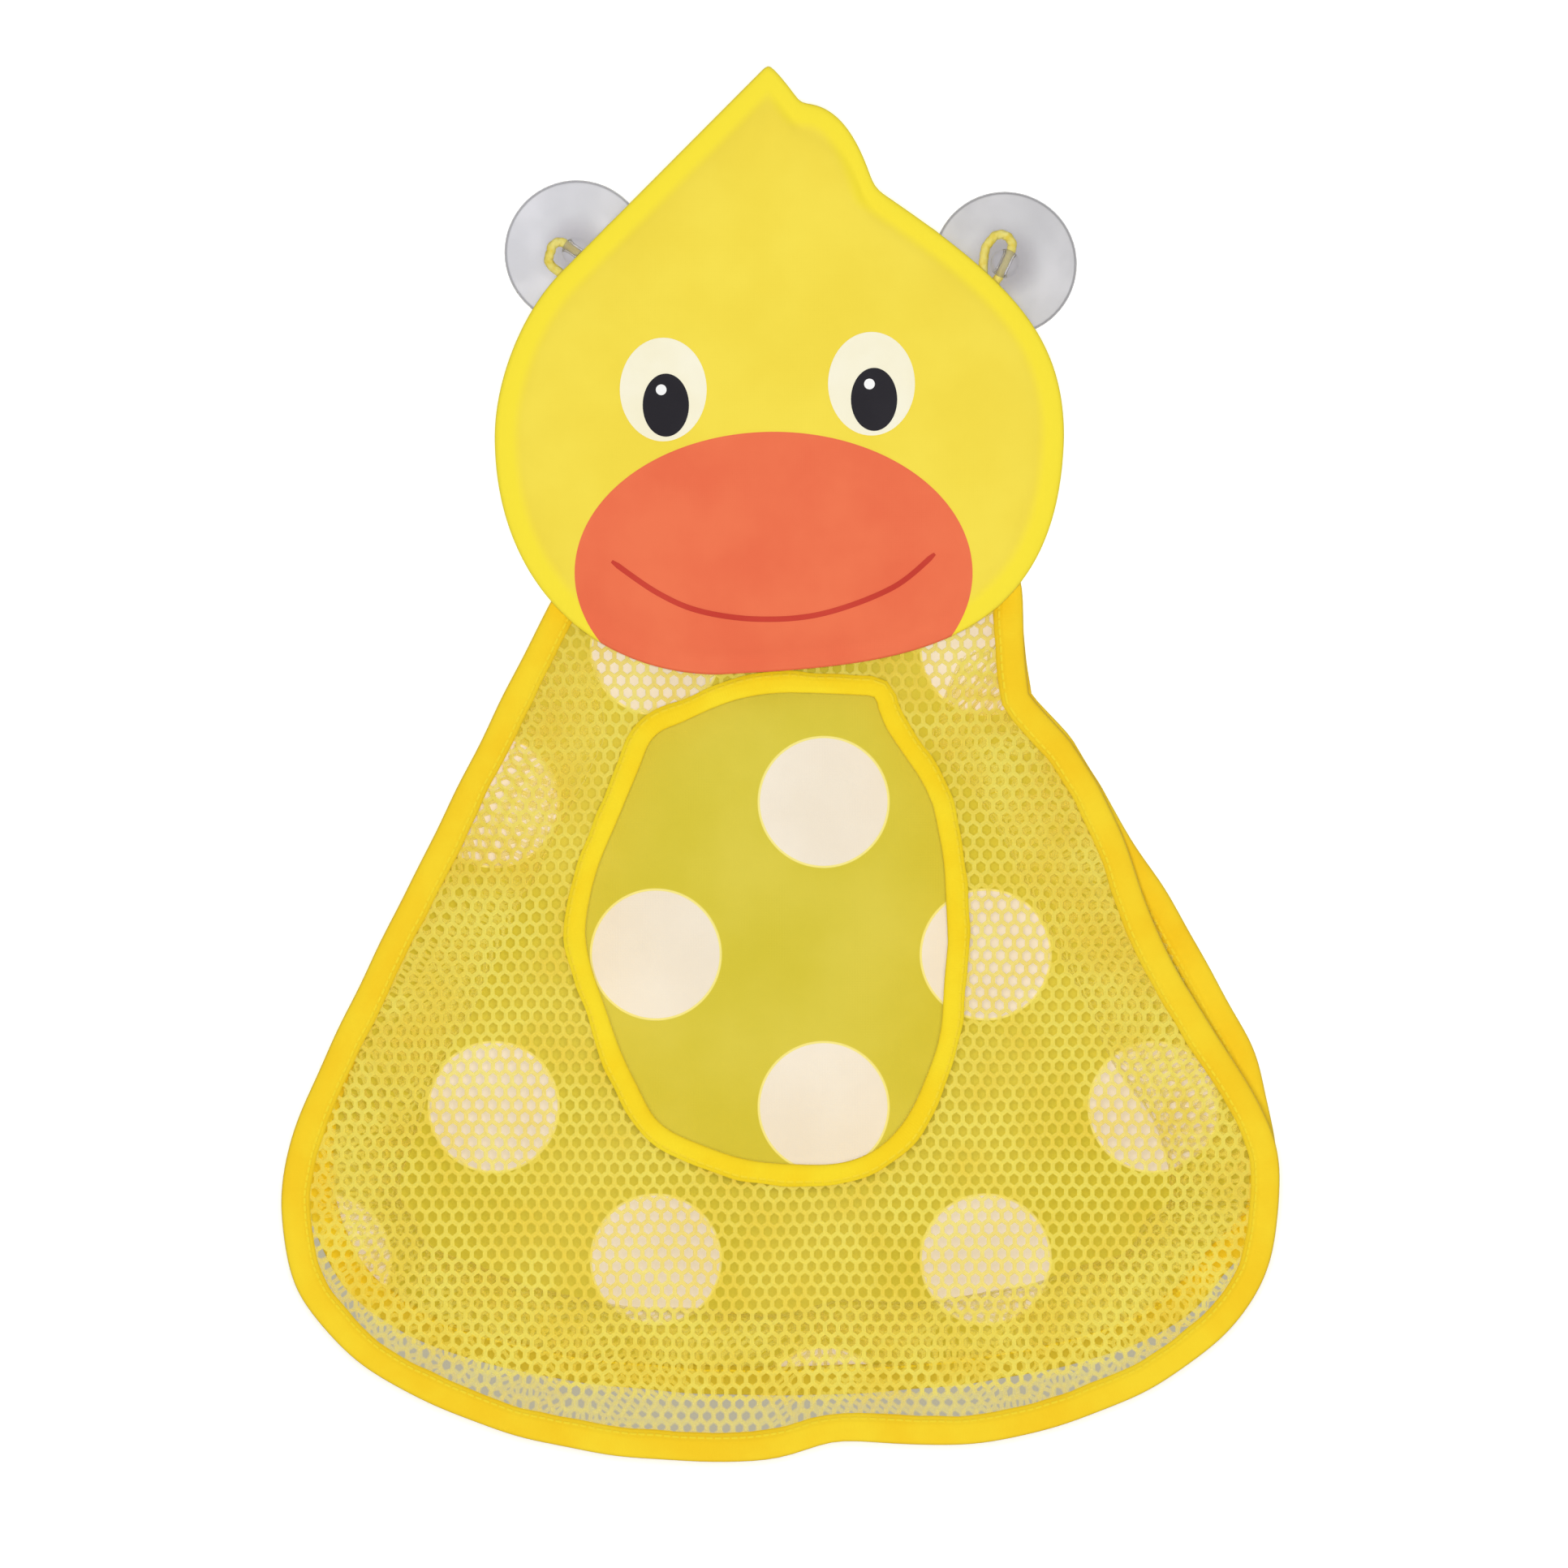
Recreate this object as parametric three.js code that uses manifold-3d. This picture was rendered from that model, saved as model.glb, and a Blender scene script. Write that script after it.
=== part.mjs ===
// Bath toy organizer in the shape of a duckling: a padded head that hangs on two suction cups,
// with a gusseted net pocket sewn below it. Millimetres, +Z up. The wall is the plane y = 0 and
// the room lies towards -Y. The origin is on the wall, level with the cups, on the bag's middle line.

import * as THREE from 'three';
import { mergeVertices } from 'three/addons/utils/BufferGeometryUtils.js';
import Module from 'manifold-3d';

const wasm = await Module();
wasm.setup();

// Clearance between seated pieces
const SEAT_GAP = 0.3;

// Suction cups
const LEFT_CUP_X = -70;
const LEFT_CUP_Z = 2;
const RIGHT_CUP_X = 78;
const RIGHT_CUP_Z = -2;
const CUP_RADIUS = 25;
const CUP_LIP = 3.5;
const CUP_EDGE = 1.2;
const CUP_DOME = 9;
const CUP_HOLLOW = 5;
const CUP_NECK_RADIUS = 3.6;
const CUP_NECK_LENGTH = 2;
const KNOB_RADIUS = 5;
const KNOB_LENGTH = 8.5;
const KNOB_ROUND = 2;
const CUP_SIDES = 32;
const HOLE_SIDES = 12;

// Curves of the cup, as shares of its radius and of its dome
const CUP_HOLLOW_CROWN = 0.7;
const CUP_SHOULDER_RADIUS = 0.75;
const CUP_SHOULDER_RISE = 0.7;
const CUP_CROWN_RISE = 0.9;

// Turn of each knob's cross hole from level, in degrees counter-clockwise as seen from the front
const LEFT_HOLE_TURN = -35;
const RIGHT_HOLE_TURN = 65;

// Cord loops and the sewn tabs that hold their ends
const CORD_DIAMETER = 3;
const CORD_PLAY = 0.4;
const LEFT_CORD_BEND = 3;
const RIGHT_CORD_BEND = 3.9;
const RIGHT_CORD_ARCH = 180;
const CORD_END_SPACING = 6;
const CORD_BEND_POINTS = 4;
const CORD_SIDES = 8;
const CORD_STEPS = 36;
const TAB_DROP = 16;
const TAB_SHIFT = 5;
const TAB_WIDTH = 14;
const TAB_HEIGHT = 12;
const TAB_THICKNESS = 3.6;

// Head: two cloths with a foam core between them, sewn flat in a band round the edge
const HEAD_CLEARANCE = 3;
const HEAD_HALF_WIDTH = 98;
const HEAD_CHEEK_Z = -62;
const HEAD_CHIN_Z = -144.2;
const HEAD_CHIN_X = -22;
const HEAD_SHOULDER_X = -75.6;
const HEAD_SHOULDER_Z = -5.1;
const TUFT_TIP_X = -3.6;
const TUFT_TIP_Z = 65.2;
const TUFT_NOTCH_X = 7.5;
const TUFT_NOTCH_Z = 52.6;
const NAPE_X = 32.8;
const NAPE_Z = 23.7;
const SHOULDER_PULL = 13;
const LEFT_CHEEK_RISE = 20;
const LEFT_CHEEK_DROP = 0.61;
const LEFT_CHIN_PULL = 48;
const RIGHT_CHIN_PULL = 68;
const RIGHT_CHEEK_DROP = 0.71;
const RIGHT_CHEEK_RISE = 36;
const NAPE_PULL_X = 47;
const NAPE_PULL_Z = 31;
const CURL_PULL_X = 14;
const CURL_PULL_Z = 12;
const CURL_LEAN = 4;
const TIP_ROUND = 3;
const HEAD_CLOTH = 0.6;
const FOAM_THICKNESS = 3.4;
const HEAD_SEAM_BAND = 7.5;
const HEAD_PAD_SLOPE = 3;

// Face prints
const PRINT_FILM = 0.3;
const BEAK_X = -1.9;
const BEAK_Z = -108.9;
const BEAK_HALF_WIDTH = 68.7;
const BEAK_HALF_HEIGHT = 48.7;
const LEFT_EYE_X = -40;
const LEFT_EYE_Z = -45.6;
const RIGHT_EYE_X = 31.9;
const RIGHT_EYE_Z = -43.6;
const EYE_HALF_WIDTH = 15;
const EYE_HALF_HEIGHT = 17.9;
const PUPIL_HALF_WIDTH = 8;
const PUPIL_HALF_HEIGHT = 10.9;
const PUPIL_SHIFT = 0.9;
const PUPIL_DROP = 5.4;
const PRINT_SIDES = 40;

// Pocket: outline of the bound edge, seen from the front
const BAG_TOP_Z = -107.5;
const BAG_TOP_HALF_WIDTH = 73.3;
const BAG_TOP_CORNER = 14;
const BAG_HIP_HALF_WIDTH = 157;
const BAG_HIP_Z = -275;
const BAG_HALF_WIDTH = 172;
const BAG_WIDEST_Z = -326;
const BAG_BOTTOM_Z = -415;
const BACK_BOTTOM_Z = -393;
const HIP_PULL = 22;
const WIDEST_PULL = 18;
const BOTTOM_SIDE_DROP = 0.56;
const BOTTOM_FLAT_SHARE = 0.65;
const TOP_STEPS = 3;
const CORNER_STEPS = 4;
const SIDE_STEPS = 7;
const HIP_STEPS = 5;
const BOTTOM_STEPS = 12;

// Pocket: depth, cloth and net
const BACK_PANEL_Y = -12;
const POCKET_DEPTH_AT_TOP = 2.5;
const POCKET_DEPTH_AT_BOTTOM = 48.5;
const NET_FULLNESS = 5;
const NET_FULLNESS_REACH = 36;
const NET_FULLNESS_RISE = 140;
const NET_FULLNESS_TOP_Z = -150;
const PANEL_CLOTH = 0.6;
const NET_THICKNESS = 0.6;
const MESH_PITCH = 18;
const MESH_STRAND = 4;
const MESH_STRETCH = 1.08;
const SMALLEST_GAP_SHARE = 0.3;

// Pocket: folded tapes
const BINDING_WIDTH = 10;
const OPENING_TAPE_WIDTH = 7;
const TAPE_CLOTH = 0.5;
const GUSSET_INSET = 1.6;
const GUSSET_FOLD = 38;
const GUSSET_FOLD_RATE = 2.5;
const GUSSET_NOSE_SHARE = 0.4;
const GUSSET_GAP_DEPTH = 12;
const GUSSET_MESH_PITCH = 30;
const NECK_SEAM_WIDTH = 124;
const NECK_SEAM_HEIGHT = 9;
const NECK_SEAM_DROP = 1.5;

// Belly opening, to the inner edge of its tape
const OPENING_X = -4;
const OPENING_Z = -233.5;
const OPENING_HALF_WIDTH = 62.5;
const OPENING_HALF_HEIGHT = 81;
const OPENING_SIDES = 48;

// Levels worked out from the sizes above
const cupHeight = CUP_DOME + CUP_NECK_LENGTH + KNOB_LENGTH;
const cordHoleY = -(CUP_DOME + CUP_NECK_LENGTH + KNOB_LENGTH / 2);
const headBackY = -(cupHeight + HEAD_CLEARANCE);
const headSeamY = headBackY - HEAD_CLOTH;
const headBandY = headSeamY - HEAD_CLOTH;
const headFrontY = headSeamY - FOAM_THICKNESS - HEAD_CLOTH;
const tapeHalf = PANEL_CLOTH / 2 + SEAT_GAP + TAPE_CLOTH;
const netSlope = (POCKET_DEPTH_AT_BOTTOM - POCKET_DEPTH_AT_TOP) / (BAG_TOP_Z - BAG_BOTTOM_Z);

// Materials
const cloth = (color, roughness = 0.85) =>
  new THREE.MeshStandardMaterial({ color, roughness, metalness: 0 });
const yellowCloth = cloth(0xf6df4b);
const yellowNylon = cloth(0xf2d34a, 0.7);
const yellowTape = cloth(0xf8d028, 0.75);
const yellowNet = cloth(0xf5d732, 0.6);
const yellowCord = cloth(0xf2cf3a, 0.8);
const whiteFoam = cloth(0xf4f2ea, 0.95);
const beakPrint = cloth(0xf27851);
const eyePrint = cloth(0xfcf6da);
const pupilPrint = cloth(0x302e33);
const clearPvc = new THREE.MeshStandardMaterial({
  color: 0xd4d2d2,
  roughness: 0.2,
  metalness: 0,
  transparent: true,
  opacity: 0.5,
});

// Solid geometry helpers

// Welds equal corners, drops collapsed triangles and turns the faces outward.
function closed(geometry) {
  const bare = geometry.clone();
  bare.deleteAttribute('normal');
  bare.deleteAttribute('uv');
  const welded = mergeVertices(bare, 1e-4);
  const position = welded.getAttribute('position');
  const corner = [new THREE.Vector3(), new THREE.Vector3(), new THREE.Vector3()];
  const kept = [];
  let volume = 0;
  for (let i = 0; i < welded.index.count; i += 3) {
    const triangle = [0, 1, 2].map((k) => welded.index.getX(i + k));
    if (new Set(triangle).size < 3) {
      continue;
    }
    triangle.forEach((vertex, k) => corner[k].fromBufferAttribute(position, vertex));
    volume += corner[0].dot(corner[1].cross(corner[2]));
    kept.push(triangle);
  }
  const outward = volume < 0 ? kept.map(([a, b, c]) => [a, c, b]) : kept;
  welded.setIndex(outward.flat());
  welded.computeVertexNormals();
  return welded;
}

function toManifold(geometry) {
  const solid = closed(geometry);
  const vertProperties = new Float32Array(solid.getAttribute('position').array);
  const triVerts = new Uint32Array(solid.index.array);
  return new wasm.Manifold(new wasm.Mesh({ numProp: 3, vertProperties, triVerts }));
}

function fromManifold(manifold) {
  const mesh = manifold.getMesh();
  const geometry = new THREE.BufferGeometry();
  geometry.setAttribute('position', new THREE.Float32BufferAttribute(mesh.vertProperties, 3));
  geometry.setIndex(Array.from(mesh.triVerts));
  return closed(geometry);
}

// Joins rings of equally many points side by side. The first and last ring are capped,
// or joined to each other where the rings run round in a circle.
function loft(rings, { round = false } = {}) {
  const count = rings[0].length;
  const index = [];
  const last = round ? rings.length : rings.length - 1;
  for (let r = 0; r < last; r += 1) {
    const here = r * count;
    const next = ((r + 1) % rings.length) * count;
    for (let i = 0; i < count; i += 1) {
      const j = (i + 1) % count;
      index.push(here + i, next + i, next + j, here + i, next + j, here + j);
    }
  }
  if (!round) {
    const capEnds = [rings[0], rings[rings.length - 1]];
    capEnds.forEach((ring, end) => {
      const first = end * (rings.length - 1) * count;
      const flat = ring.map((p) => new THREE.Vector2(p.x, p.z));
      for (const [a, b, c] of THREE.ShapeUtils.triangulateShape(flat, [])) {
        const turned = end === 0 ? [a, b, c] : [a, c, b];
        index.push(...turned.map((k) => first + k));
      }
    });
  }
  const geometry = new THREE.BufferGeometry();
  const points = rings.flat();
  geometry.setFromPoints(points);
  geometry.setIndex(index);
  return closed(geometry);
}

// Extrudes a flat shape drawn in X and Z to a plate between two levels of y.
function plate(shape, frontY, backY) {
  const geometry = new THREE.ExtrudeGeometry(shape, { depth: backY - frontY, bevelEnabled: false });
  geometry.rotateX(Math.PI / 2);
  geometry.translate(0, backY, 0);
  return closed(geometry);
}

function ellipseRing(x, z, halfWidth, halfHeight, sides) {
  const ring = [];
  for (let i = 0; i < sides; i += 1) {
    const angle = (2 * Math.PI * i) / sides;
    ring.push(new THREE.Vector2(x + halfWidth * Math.cos(angle), z + halfHeight * Math.sin(angle)));
  }
  return ring;
}

// Direction to the right of a corner, long enough to keep a straight offset parallel to both of
// the legs that meet there.
function mitre(before, point, after) {
  const inLeg = point.clone().sub(before).normalize();
  const outLeg = after.clone().sub(point).normalize();
  const sum = new THREE.Vector2(inLeg.y + outLeg.y, -inLeg.x - outLeg.x);
  return sum.divideScalar(1 + inLeg.dot(outLeg));
}

// Outward directions at the corners of a counter-clockwise ring
function cornerNormals(ring) {
  const count = ring.length;
  return ring.map((point, i) => mitre(ring[(i + count - 1) % count], point, ring[(i + 1) % count]));
}

// The same for an open line, whose end directions are those of its end legs
function lineNormals(line) {
  const beyond = (end, next) => end.clone().multiplyScalar(2).sub(next);
  return line.map((point, i) => {
    const before = line[i - 1] ?? beyond(point, line[i + 1]);
    const after = line[i + 1] ?? beyond(point, line[i - 1]);
    return mitre(before, point, after);
  });
}

function offsetRing(ring, outward) {
  const normals = cornerNormals(ring);
  return ring.map((point, i) => point.clone().addScaledVector(normals[i], outward));
}

// Distance from a point to the nearest side of a convex counter-clockwise ring, positive inside.
function insideDistance(ring, x, z) {
  let nearest = Infinity;
  ring.forEach((point, i) => {
    const after = ring[(i + 1) % ring.length];
    const dx = after.x - point.x;
    const dz = after.y - point.y;
    const distance = (dx * (z - point.y) - dz * (x - point.x)) / Math.hypot(dx, dz);
    nearest = Math.min(nearest, distance);
  });
  return nearest;
}

// Cuts a polygon to the part of it that lies inside a convex counter-clockwise ring.
function clipInside(polygon, ring) {
  return ring.reduce((kept, from, i) => {
    const to = ring[(i + 1) % ring.length];
    const side = (p) => (to.x - from.x) * (p.y - from.y) - (to.y - from.y) * (p.x - from.x);
    const next = [];
    kept.forEach((p, k) => {
      const q = kept[(k + 1) % kept.length];
      const sp = side(p);
      const sq = side(q);
      if (sp >= 0) {
        next.push(p);
      }
      if (sp * sq < 0) {
        next.push(p.clone().lerp(q, sp / (sp - sq)));
      }
    });
    return next;
  }, polygon);
}

// Suction cups, turned about the Y axis, with a cross hole for the cord through the knob

function cupProfile() {
  const v = (r, y) => new THREE.Vector2(r, y);
  const knobBack = -(CUP_DOME + CUP_NECK_LENGTH);
  const lipInner = CUP_RADIUS - CUP_LIP;
  const roundCut = KNOB_ROUND * (1 - Math.SQRT1_2);
  const hollow = new THREE.QuadraticBezierCurve(
    v(0, -CUP_HOLLOW),
    v(lipInner * CUP_HOLLOW_CROWN, -CUP_HOLLOW),
    v(lipInner, 0),
  );
  const dome = new THREE.CubicBezierCurve(
    v(CUP_RADIUS, -CUP_EDGE),
    v(CUP_RADIUS * CUP_SHOULDER_RADIUS, -CUP_DOME * CUP_SHOULDER_RISE),
    v(CUP_NECK_RADIUS * 2, -CUP_DOME * CUP_CROWN_RISE),
    v(CUP_NECK_RADIUS, -CUP_DOME),
  );
  return [
    ...hollow.getPoints(4),
    v(CUP_RADIUS, 0),
    ...dome.getPoints(5),
    v(CUP_NECK_RADIUS, knobBack),
    v(KNOB_RADIUS - KNOB_ROUND / 2, knobBack),
    v(KNOB_RADIUS, knobBack - KNOB_ROUND / 2),
    v(KNOB_RADIUS, -cupHeight + KNOB_ROUND),
    v(KNOB_RADIUS - roundCut, -cupHeight + roundCut),
    v(KNOB_RADIUS - KNOB_ROUND, -cupHeight),
    v(0, -cupHeight),
  ];
}

function suctionCup(holeTurn) {
  const body = new THREE.LatheGeometry(cupProfile(), CUP_SIDES);
  const holeRadius = CORD_DIAMETER / 2 + CORD_PLAY;
  const hole = new THREE.CylinderGeometry(holeRadius, holeRadius, 3 * KNOB_RADIUS, HOLE_SIDES);
  hole.rotateZ(Math.PI / 2);
  hole.rotateY(-THREE.MathUtils.degToRad(holeTurn));
  hole.translate(0, cordHoleY, 0);
  return fromManifold(toManifold(body).subtract(toManifold(hole)));
}

// Cord loop: from its tab up to the hole's raised end, through the knob and down again to the tab,
// about the cup's centre

function tabCentre(side) {
  const tabY = headBackY + TAB_THICKNESS / 2;
  return new THREE.Vector3(-side * TAB_SHIFT, tabY, -TAB_DROP - TAB_HEIGHT / 2);
}

// The raised end of the hole lies on the cup's outer side. There the cord bends round by an arch.
function cordLoop(side, holeTurn, bend, arch) {
  const tab = tabCentre(side);
  const endZ = -TAB_DROP + SEAT_GAP;
  const axis = new THREE.Vector3(0, -1, 0);
  const turn = THREE.MathUtils.degToRad(holeTurn);
  const at = (along, across) =>
    new THREE.Vector3(along, cordHoleY, across).applyAxisAngle(axis, turn);
  const sewn = (x) => [
    new THREE.Vector3(x, tab.y, endZ + CORD_DIAMETER),
    new THREE.Vector3(x, tab.y, endZ),
  ];
  const bent = (angle, onward) => {
    const along = KNOB_RADIUS + bend * Math.sin(angle) + onward * Math.cos(angle);
    const across = bend * (1 - Math.cos(angle)) + onward * Math.sin(angle);
    return at(side * along, side * across);
  };
  const whole = THREE.MathUtils.degToRad(arch);
  const upper = [];
  for (let k = 1; k <= CORD_BEND_POINTS; k += 1) {
    upper.push(bent((whole * k) / CORD_BEND_POINTS, 0));
  }
  const route = new THREE.CatmullRomCurve3([
    ...sewn(tab.x - CORD_END_SPACING / 2).reverse(),
    bent(whole, KNOB_RADIUS),
    ...upper.reverse(),
    at(side * KNOB_RADIUS, 0),
    at(-side * KNOB_RADIUS, 0),
    at(-side * (KNOB_RADIUS + CORD_DIAMETER), 0),
    ...sewn(tab.x + CORD_END_SPACING / 2),
  ]);
  const radius = CORD_DIAMETER / 2;
  const section = new THREE.Shape(ellipseRing(0, 0, radius, radius, CORD_SIDES));
  const sweep = { steps: CORD_STEPS, extrudePath: route, bevelEnabled: false };
  return closed(new THREE.ExtrudeGeometry(section, sweep));
}

// Head outline: a round face that rises in a straight line on the left to a curled tuft.
// share = 1 is the sewn edge; a smaller share draws it in towards the middle of the head.

function headRing(share, y) {
  const middle = new THREE.Vector2(0, HEAD_CHEEK_Z);
  const at = (x, z) => new THREE.Vector2(x, z).sub(middle).multiplyScalar(share).add(middle);
  const faceHeight = HEAD_CHEEK_Z - HEAD_CHIN_Z;
  const tip = at(TUFT_TIP_X, TUFT_TIP_Z);
  const shoulder = at(HEAD_SHOULDER_X, HEAD_SHOULDER_Z);
  const leftCheek = at(-HEAD_HALF_WIDTH, HEAD_CHEEK_Z);
  const chin = at(HEAD_CHIN_X, HEAD_CHIN_Z);
  const rightCheek = at(HEAD_HALF_WIDTH, HEAD_CHEEK_Z);
  const nape = at(NAPE_X, NAPE_Z);
  const notch = at(TUFT_NOTCH_X, TUFT_NOTCH_Z);
  const outline = new THREE.Path();
  outline.moveTo(tip.x, tip.y);
  outline.lineTo(shoulder.x, shoulder.y);
  const curve = (a, b, end) => outline.bezierCurveTo(a.x, a.y, b.x, b.y, end.x, end.y);
  curve(
    at(HEAD_SHOULDER_X - SHOULDER_PULL, HEAD_SHOULDER_Z - SHOULDER_PULL),
    at(-HEAD_HALF_WIDTH, HEAD_CHEEK_Z + LEFT_CHEEK_RISE),
    leftCheek,
  );
  curve(
    at(-HEAD_HALF_WIDTH, HEAD_CHEEK_Z - LEFT_CHEEK_DROP * faceHeight),
    at(HEAD_CHIN_X - LEFT_CHIN_PULL, HEAD_CHIN_Z),
    chin,
  );
  curve(
    at(HEAD_CHIN_X + RIGHT_CHIN_PULL, HEAD_CHIN_Z),
    at(HEAD_HALF_WIDTH, HEAD_CHEEK_Z - RIGHT_CHEEK_DROP * faceHeight),
    rightCheek,
  );
  curve(
    at(HEAD_HALF_WIDTH, HEAD_CHEEK_Z + RIGHT_CHEEK_RISE),
    at(NAPE_X + NAPE_PULL_X, NAPE_Z - NAPE_PULL_Z),
    nape,
  );
  curve(
    at(NAPE_X - CURL_LEAN, NAPE_Z + CURL_PULL_Z),
    at(TUFT_NOTCH_X + CURL_PULL_X, TUFT_NOTCH_Z),
    notch,
  );
  curve(
    at(TUFT_NOTCH_X - TIP_ROUND, TUFT_NOTCH_Z + CURL_LEAN),
    at(TUFT_TIP_X + CURL_LEAN, TUFT_TIP_Z - TIP_ROUND),
    tip,
  );
  const points = outline.getPoints(8).slice(0, -1);
  return points.map((p) => new THREE.Vector3(p.x, y, p.y));
}

const bandShare = 1 - HEAD_SEAM_BAND / HEAD_HALF_WIDTH;
const padShare = 1 - (HEAD_SEAM_BAND + HEAD_PAD_SLOPE) / HEAD_HALF_WIDTH;
const coreShare = SEAT_GAP / HEAD_HALF_WIDTH;

// Front cloth: flat in the sewn band, raised over the core, hollow behind
function headFrontPanel() {
  const wallShare = HEAD_CLOTH / HEAD_HALF_WIDTH;
  return loft([
    headRing(padShare - wallShare, headFrontY + HEAD_CLOTH),
    headRing(bandShare - wallShare, headSeamY),
    headRing(1, headSeamY),
    headRing(1, headBandY),
    headRing(bandShare, headBandY),
    headRing(padShare, headFrontY),
  ]);
}

function headFoamCore() {
  const wallShare = HEAD_CLOTH / HEAD_HALF_WIDTH + coreShare;
  return loft([
    headRing(bandShare - wallShare, headSeamY - SEAT_GAP),
    headRing(padShare - wallShare, headFrontY + HEAD_CLOTH + SEAT_GAP),
  ]);
}

function headBackPanel() {
  return loft([headRing(1, headBackY), headRing(1, headSeamY)]);
}

// A printed film that follows the raised front of the head inside an ellipse
function headPrint(x, z, halfWidth, halfHeight, layer) {
  const relief = (forward) =>
    toManifold(
      loft([
        headRing(1, headSeamY),
        headRing(1, headBandY - forward),
        headRing(bandShare, headBandY - forward),
        headRing(padShare, headFrontY - forward),
      ]),
    );
  const near = SEAT_GAP + layer * (PRINT_FILM + SEAT_GAP);
  const field = new THREE.Shape(ellipseRing(x, z, halfWidth, halfHeight, PRINT_SIDES));
  const column = toManifold(plate(field, headFrontY - FOAM_THICKNESS, headSeamY - SEAT_GAP));
  return fromManifold(column.intersect(relief(near + PRINT_FILM)).subtract(relief(near)));
}

// Pocket outline, counter-clockwise from the middle of the top edge; the back ends above the front

function bagOutline(bottomZ) {
  const v = (x, z) => new THREE.Vector2(x, z);
  const top = v(BAG_TOP_HALF_WIDTH, BAG_TOP_Z);
  const hip = v(BAG_HIP_HALF_WIDTH, BAG_HIP_Z);
  const widest = v(BAG_HALF_WIDTH, BAG_WIDEST_Z);
  const bottom = v(0, bottomZ);
  const sideRun = hip.clone().sub(top).normalize();
  const cornerStart = v(BAG_TOP_HALF_WIDTH - BAG_TOP_CORNER, BAG_TOP_Z);
  const cornerEnd = top.clone().addScaledVector(sideRun, BAG_TOP_CORNER);
  const hipPull = hip.clone().addScaledVector(sideRun, HIP_PULL);
  const lowerRise = BAG_WIDEST_Z - bottomZ;
  const widestPull = v(BAG_HALF_WIDTH, BAG_WIDEST_Z + WIDEST_PULL);
  const pieces = [
    [new THREE.LineCurve(v(0, BAG_TOP_Z), cornerStart), TOP_STEPS],
    [new THREE.QuadraticBezierCurve(cornerStart, top, cornerEnd), CORNER_STEPS],
    [new THREE.LineCurve(cornerEnd, hip), SIDE_STEPS],
    [new THREE.CubicBezierCurve(hip, hipPull, widestPull, widest), HIP_STEPS],
    [
      new THREE.CubicBezierCurve(
        widest,
        v(BAG_HALF_WIDTH, BAG_WIDEST_Z - BOTTOM_SIDE_DROP * lowerRise),
        v(BOTTOM_FLAT_SHARE * BAG_HALF_WIDTH, bottomZ),
        bottom,
      ),
      BOTTOM_STEPS,
    ],
  ];
  const right = [v(0, BAG_TOP_Z)];
  for (const [curve, steps] of pieces) {
    right.push(...curve.getPoints(steps).slice(1));
  }
  const left = right.map((p) => v(-p.x, p.y));
  return [...left, ...right.slice(1, -1).reverse()];
}

const outline = bagOutline(BAG_BOTTOM_Z);
const backOutline = bagOutline(BACK_BOTTOM_Z);
const openingRing = ellipseRing(
  OPENING_X,
  OPENING_Z,
  OPENING_HALF_WIDTH,
  OPENING_HALF_HEIGHT,
  OPENING_SIDES,
);

// Level of the net: a plane that leaves the back panel towards the bottom, with a little fullness
function netY(x, z) {
  const plane = BACK_PANEL_Y - POCKET_DEPTH_AT_TOP - netSlope * (BAG_TOP_Z - z);
  const fromTape = insideDistance(outline, x, z) - BINDING_WIDTH - MESH_PITCH / 2;
  const inside = THREE.MathUtils.smoothstep(fromTape, 0, NET_FULLNESS_REACH);
  const below = THREE.MathUtils.smoothstep(NET_FULLNESS_TOP_Z - z, 0, NET_FULLNESS_RISE);
  return plane - NET_FULLNESS * inside * below;
}

const backY = () => BACK_PANEL_Y;

// Tape folded over an edge, as a channel that opens away from the edge and follows a surface.
// inward = 1 for the outer edge of a panel, -1 for the edge of an opening.
function foldedTape(ring, inward, width, surface) {
  const slot = tapeHalf - TAPE_CLOTH;
  const section = [
    [0, -tapeHalf],
    [width, -tapeHalf],
    [width, -slot],
    [TAPE_CLOTH, -slot],
    [TAPE_CLOTH, slot],
    [width, slot],
    [width, tapeHalf],
    [0, tapeHalf],
  ];
  const normals = cornerNormals(ring);
  const rings = ring.map((point, i) =>
    section.map(([across, lift]) => {
      const p = point.clone().addScaledVector(normals[i], -inward * across);
      return new THREE.Vector3(p.x, surface(p.x, p.y) + lift, p.y);
    }),
  );
  return loft(rings, { round: true });
}

const panelInset = TAPE_CLOTH + SEAT_GAP;

function backPanel() {
  const shape = new THREE.Shape(offsetRing(backOutline, -panelInset));
  return plate(shape, BACK_PANEL_Y - PANEL_CLOTH / 2, BACK_PANEL_Y + PANEL_CLOTH / 2);
}

const meshRow = MESH_PITCH * Math.sin(Math.PI / 3) * MESH_STRETCH;
const gapRadius = (MESH_PITCH - MESH_STRAND) / Math.sqrt(3);

// Hexagonal gaps of a net, in staggered rows about a middle point
function hexGaps(middle, rows, columns) {
  const gaps = [];
  for (let row = 0; row < rows; row += 1) {
    const stagger = row % 2 === 0 ? 0 : MESH_PITCH / 2;
    for (let column = 0; column < columns; column += 1) {
      const x = middle.x + (column - (columns - 1) / 2) * MESH_PITCH + stagger;
      const y = middle.y + (row - (rows - 1) / 2) * meshRow;
      const corners = [];
      for (let k = 0; k < 6; k += 1) {
        const angle = Math.PI / 6 + (k * Math.PI) / 3;
        const up = gapRadius * MESH_STRETCH * Math.sin(angle);
        corners.push(new THREE.Vector2(x + gapRadius * Math.cos(angle), y + up));
      }
      gaps.push(corners);
    }
  }
  return gaps;
}

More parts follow.
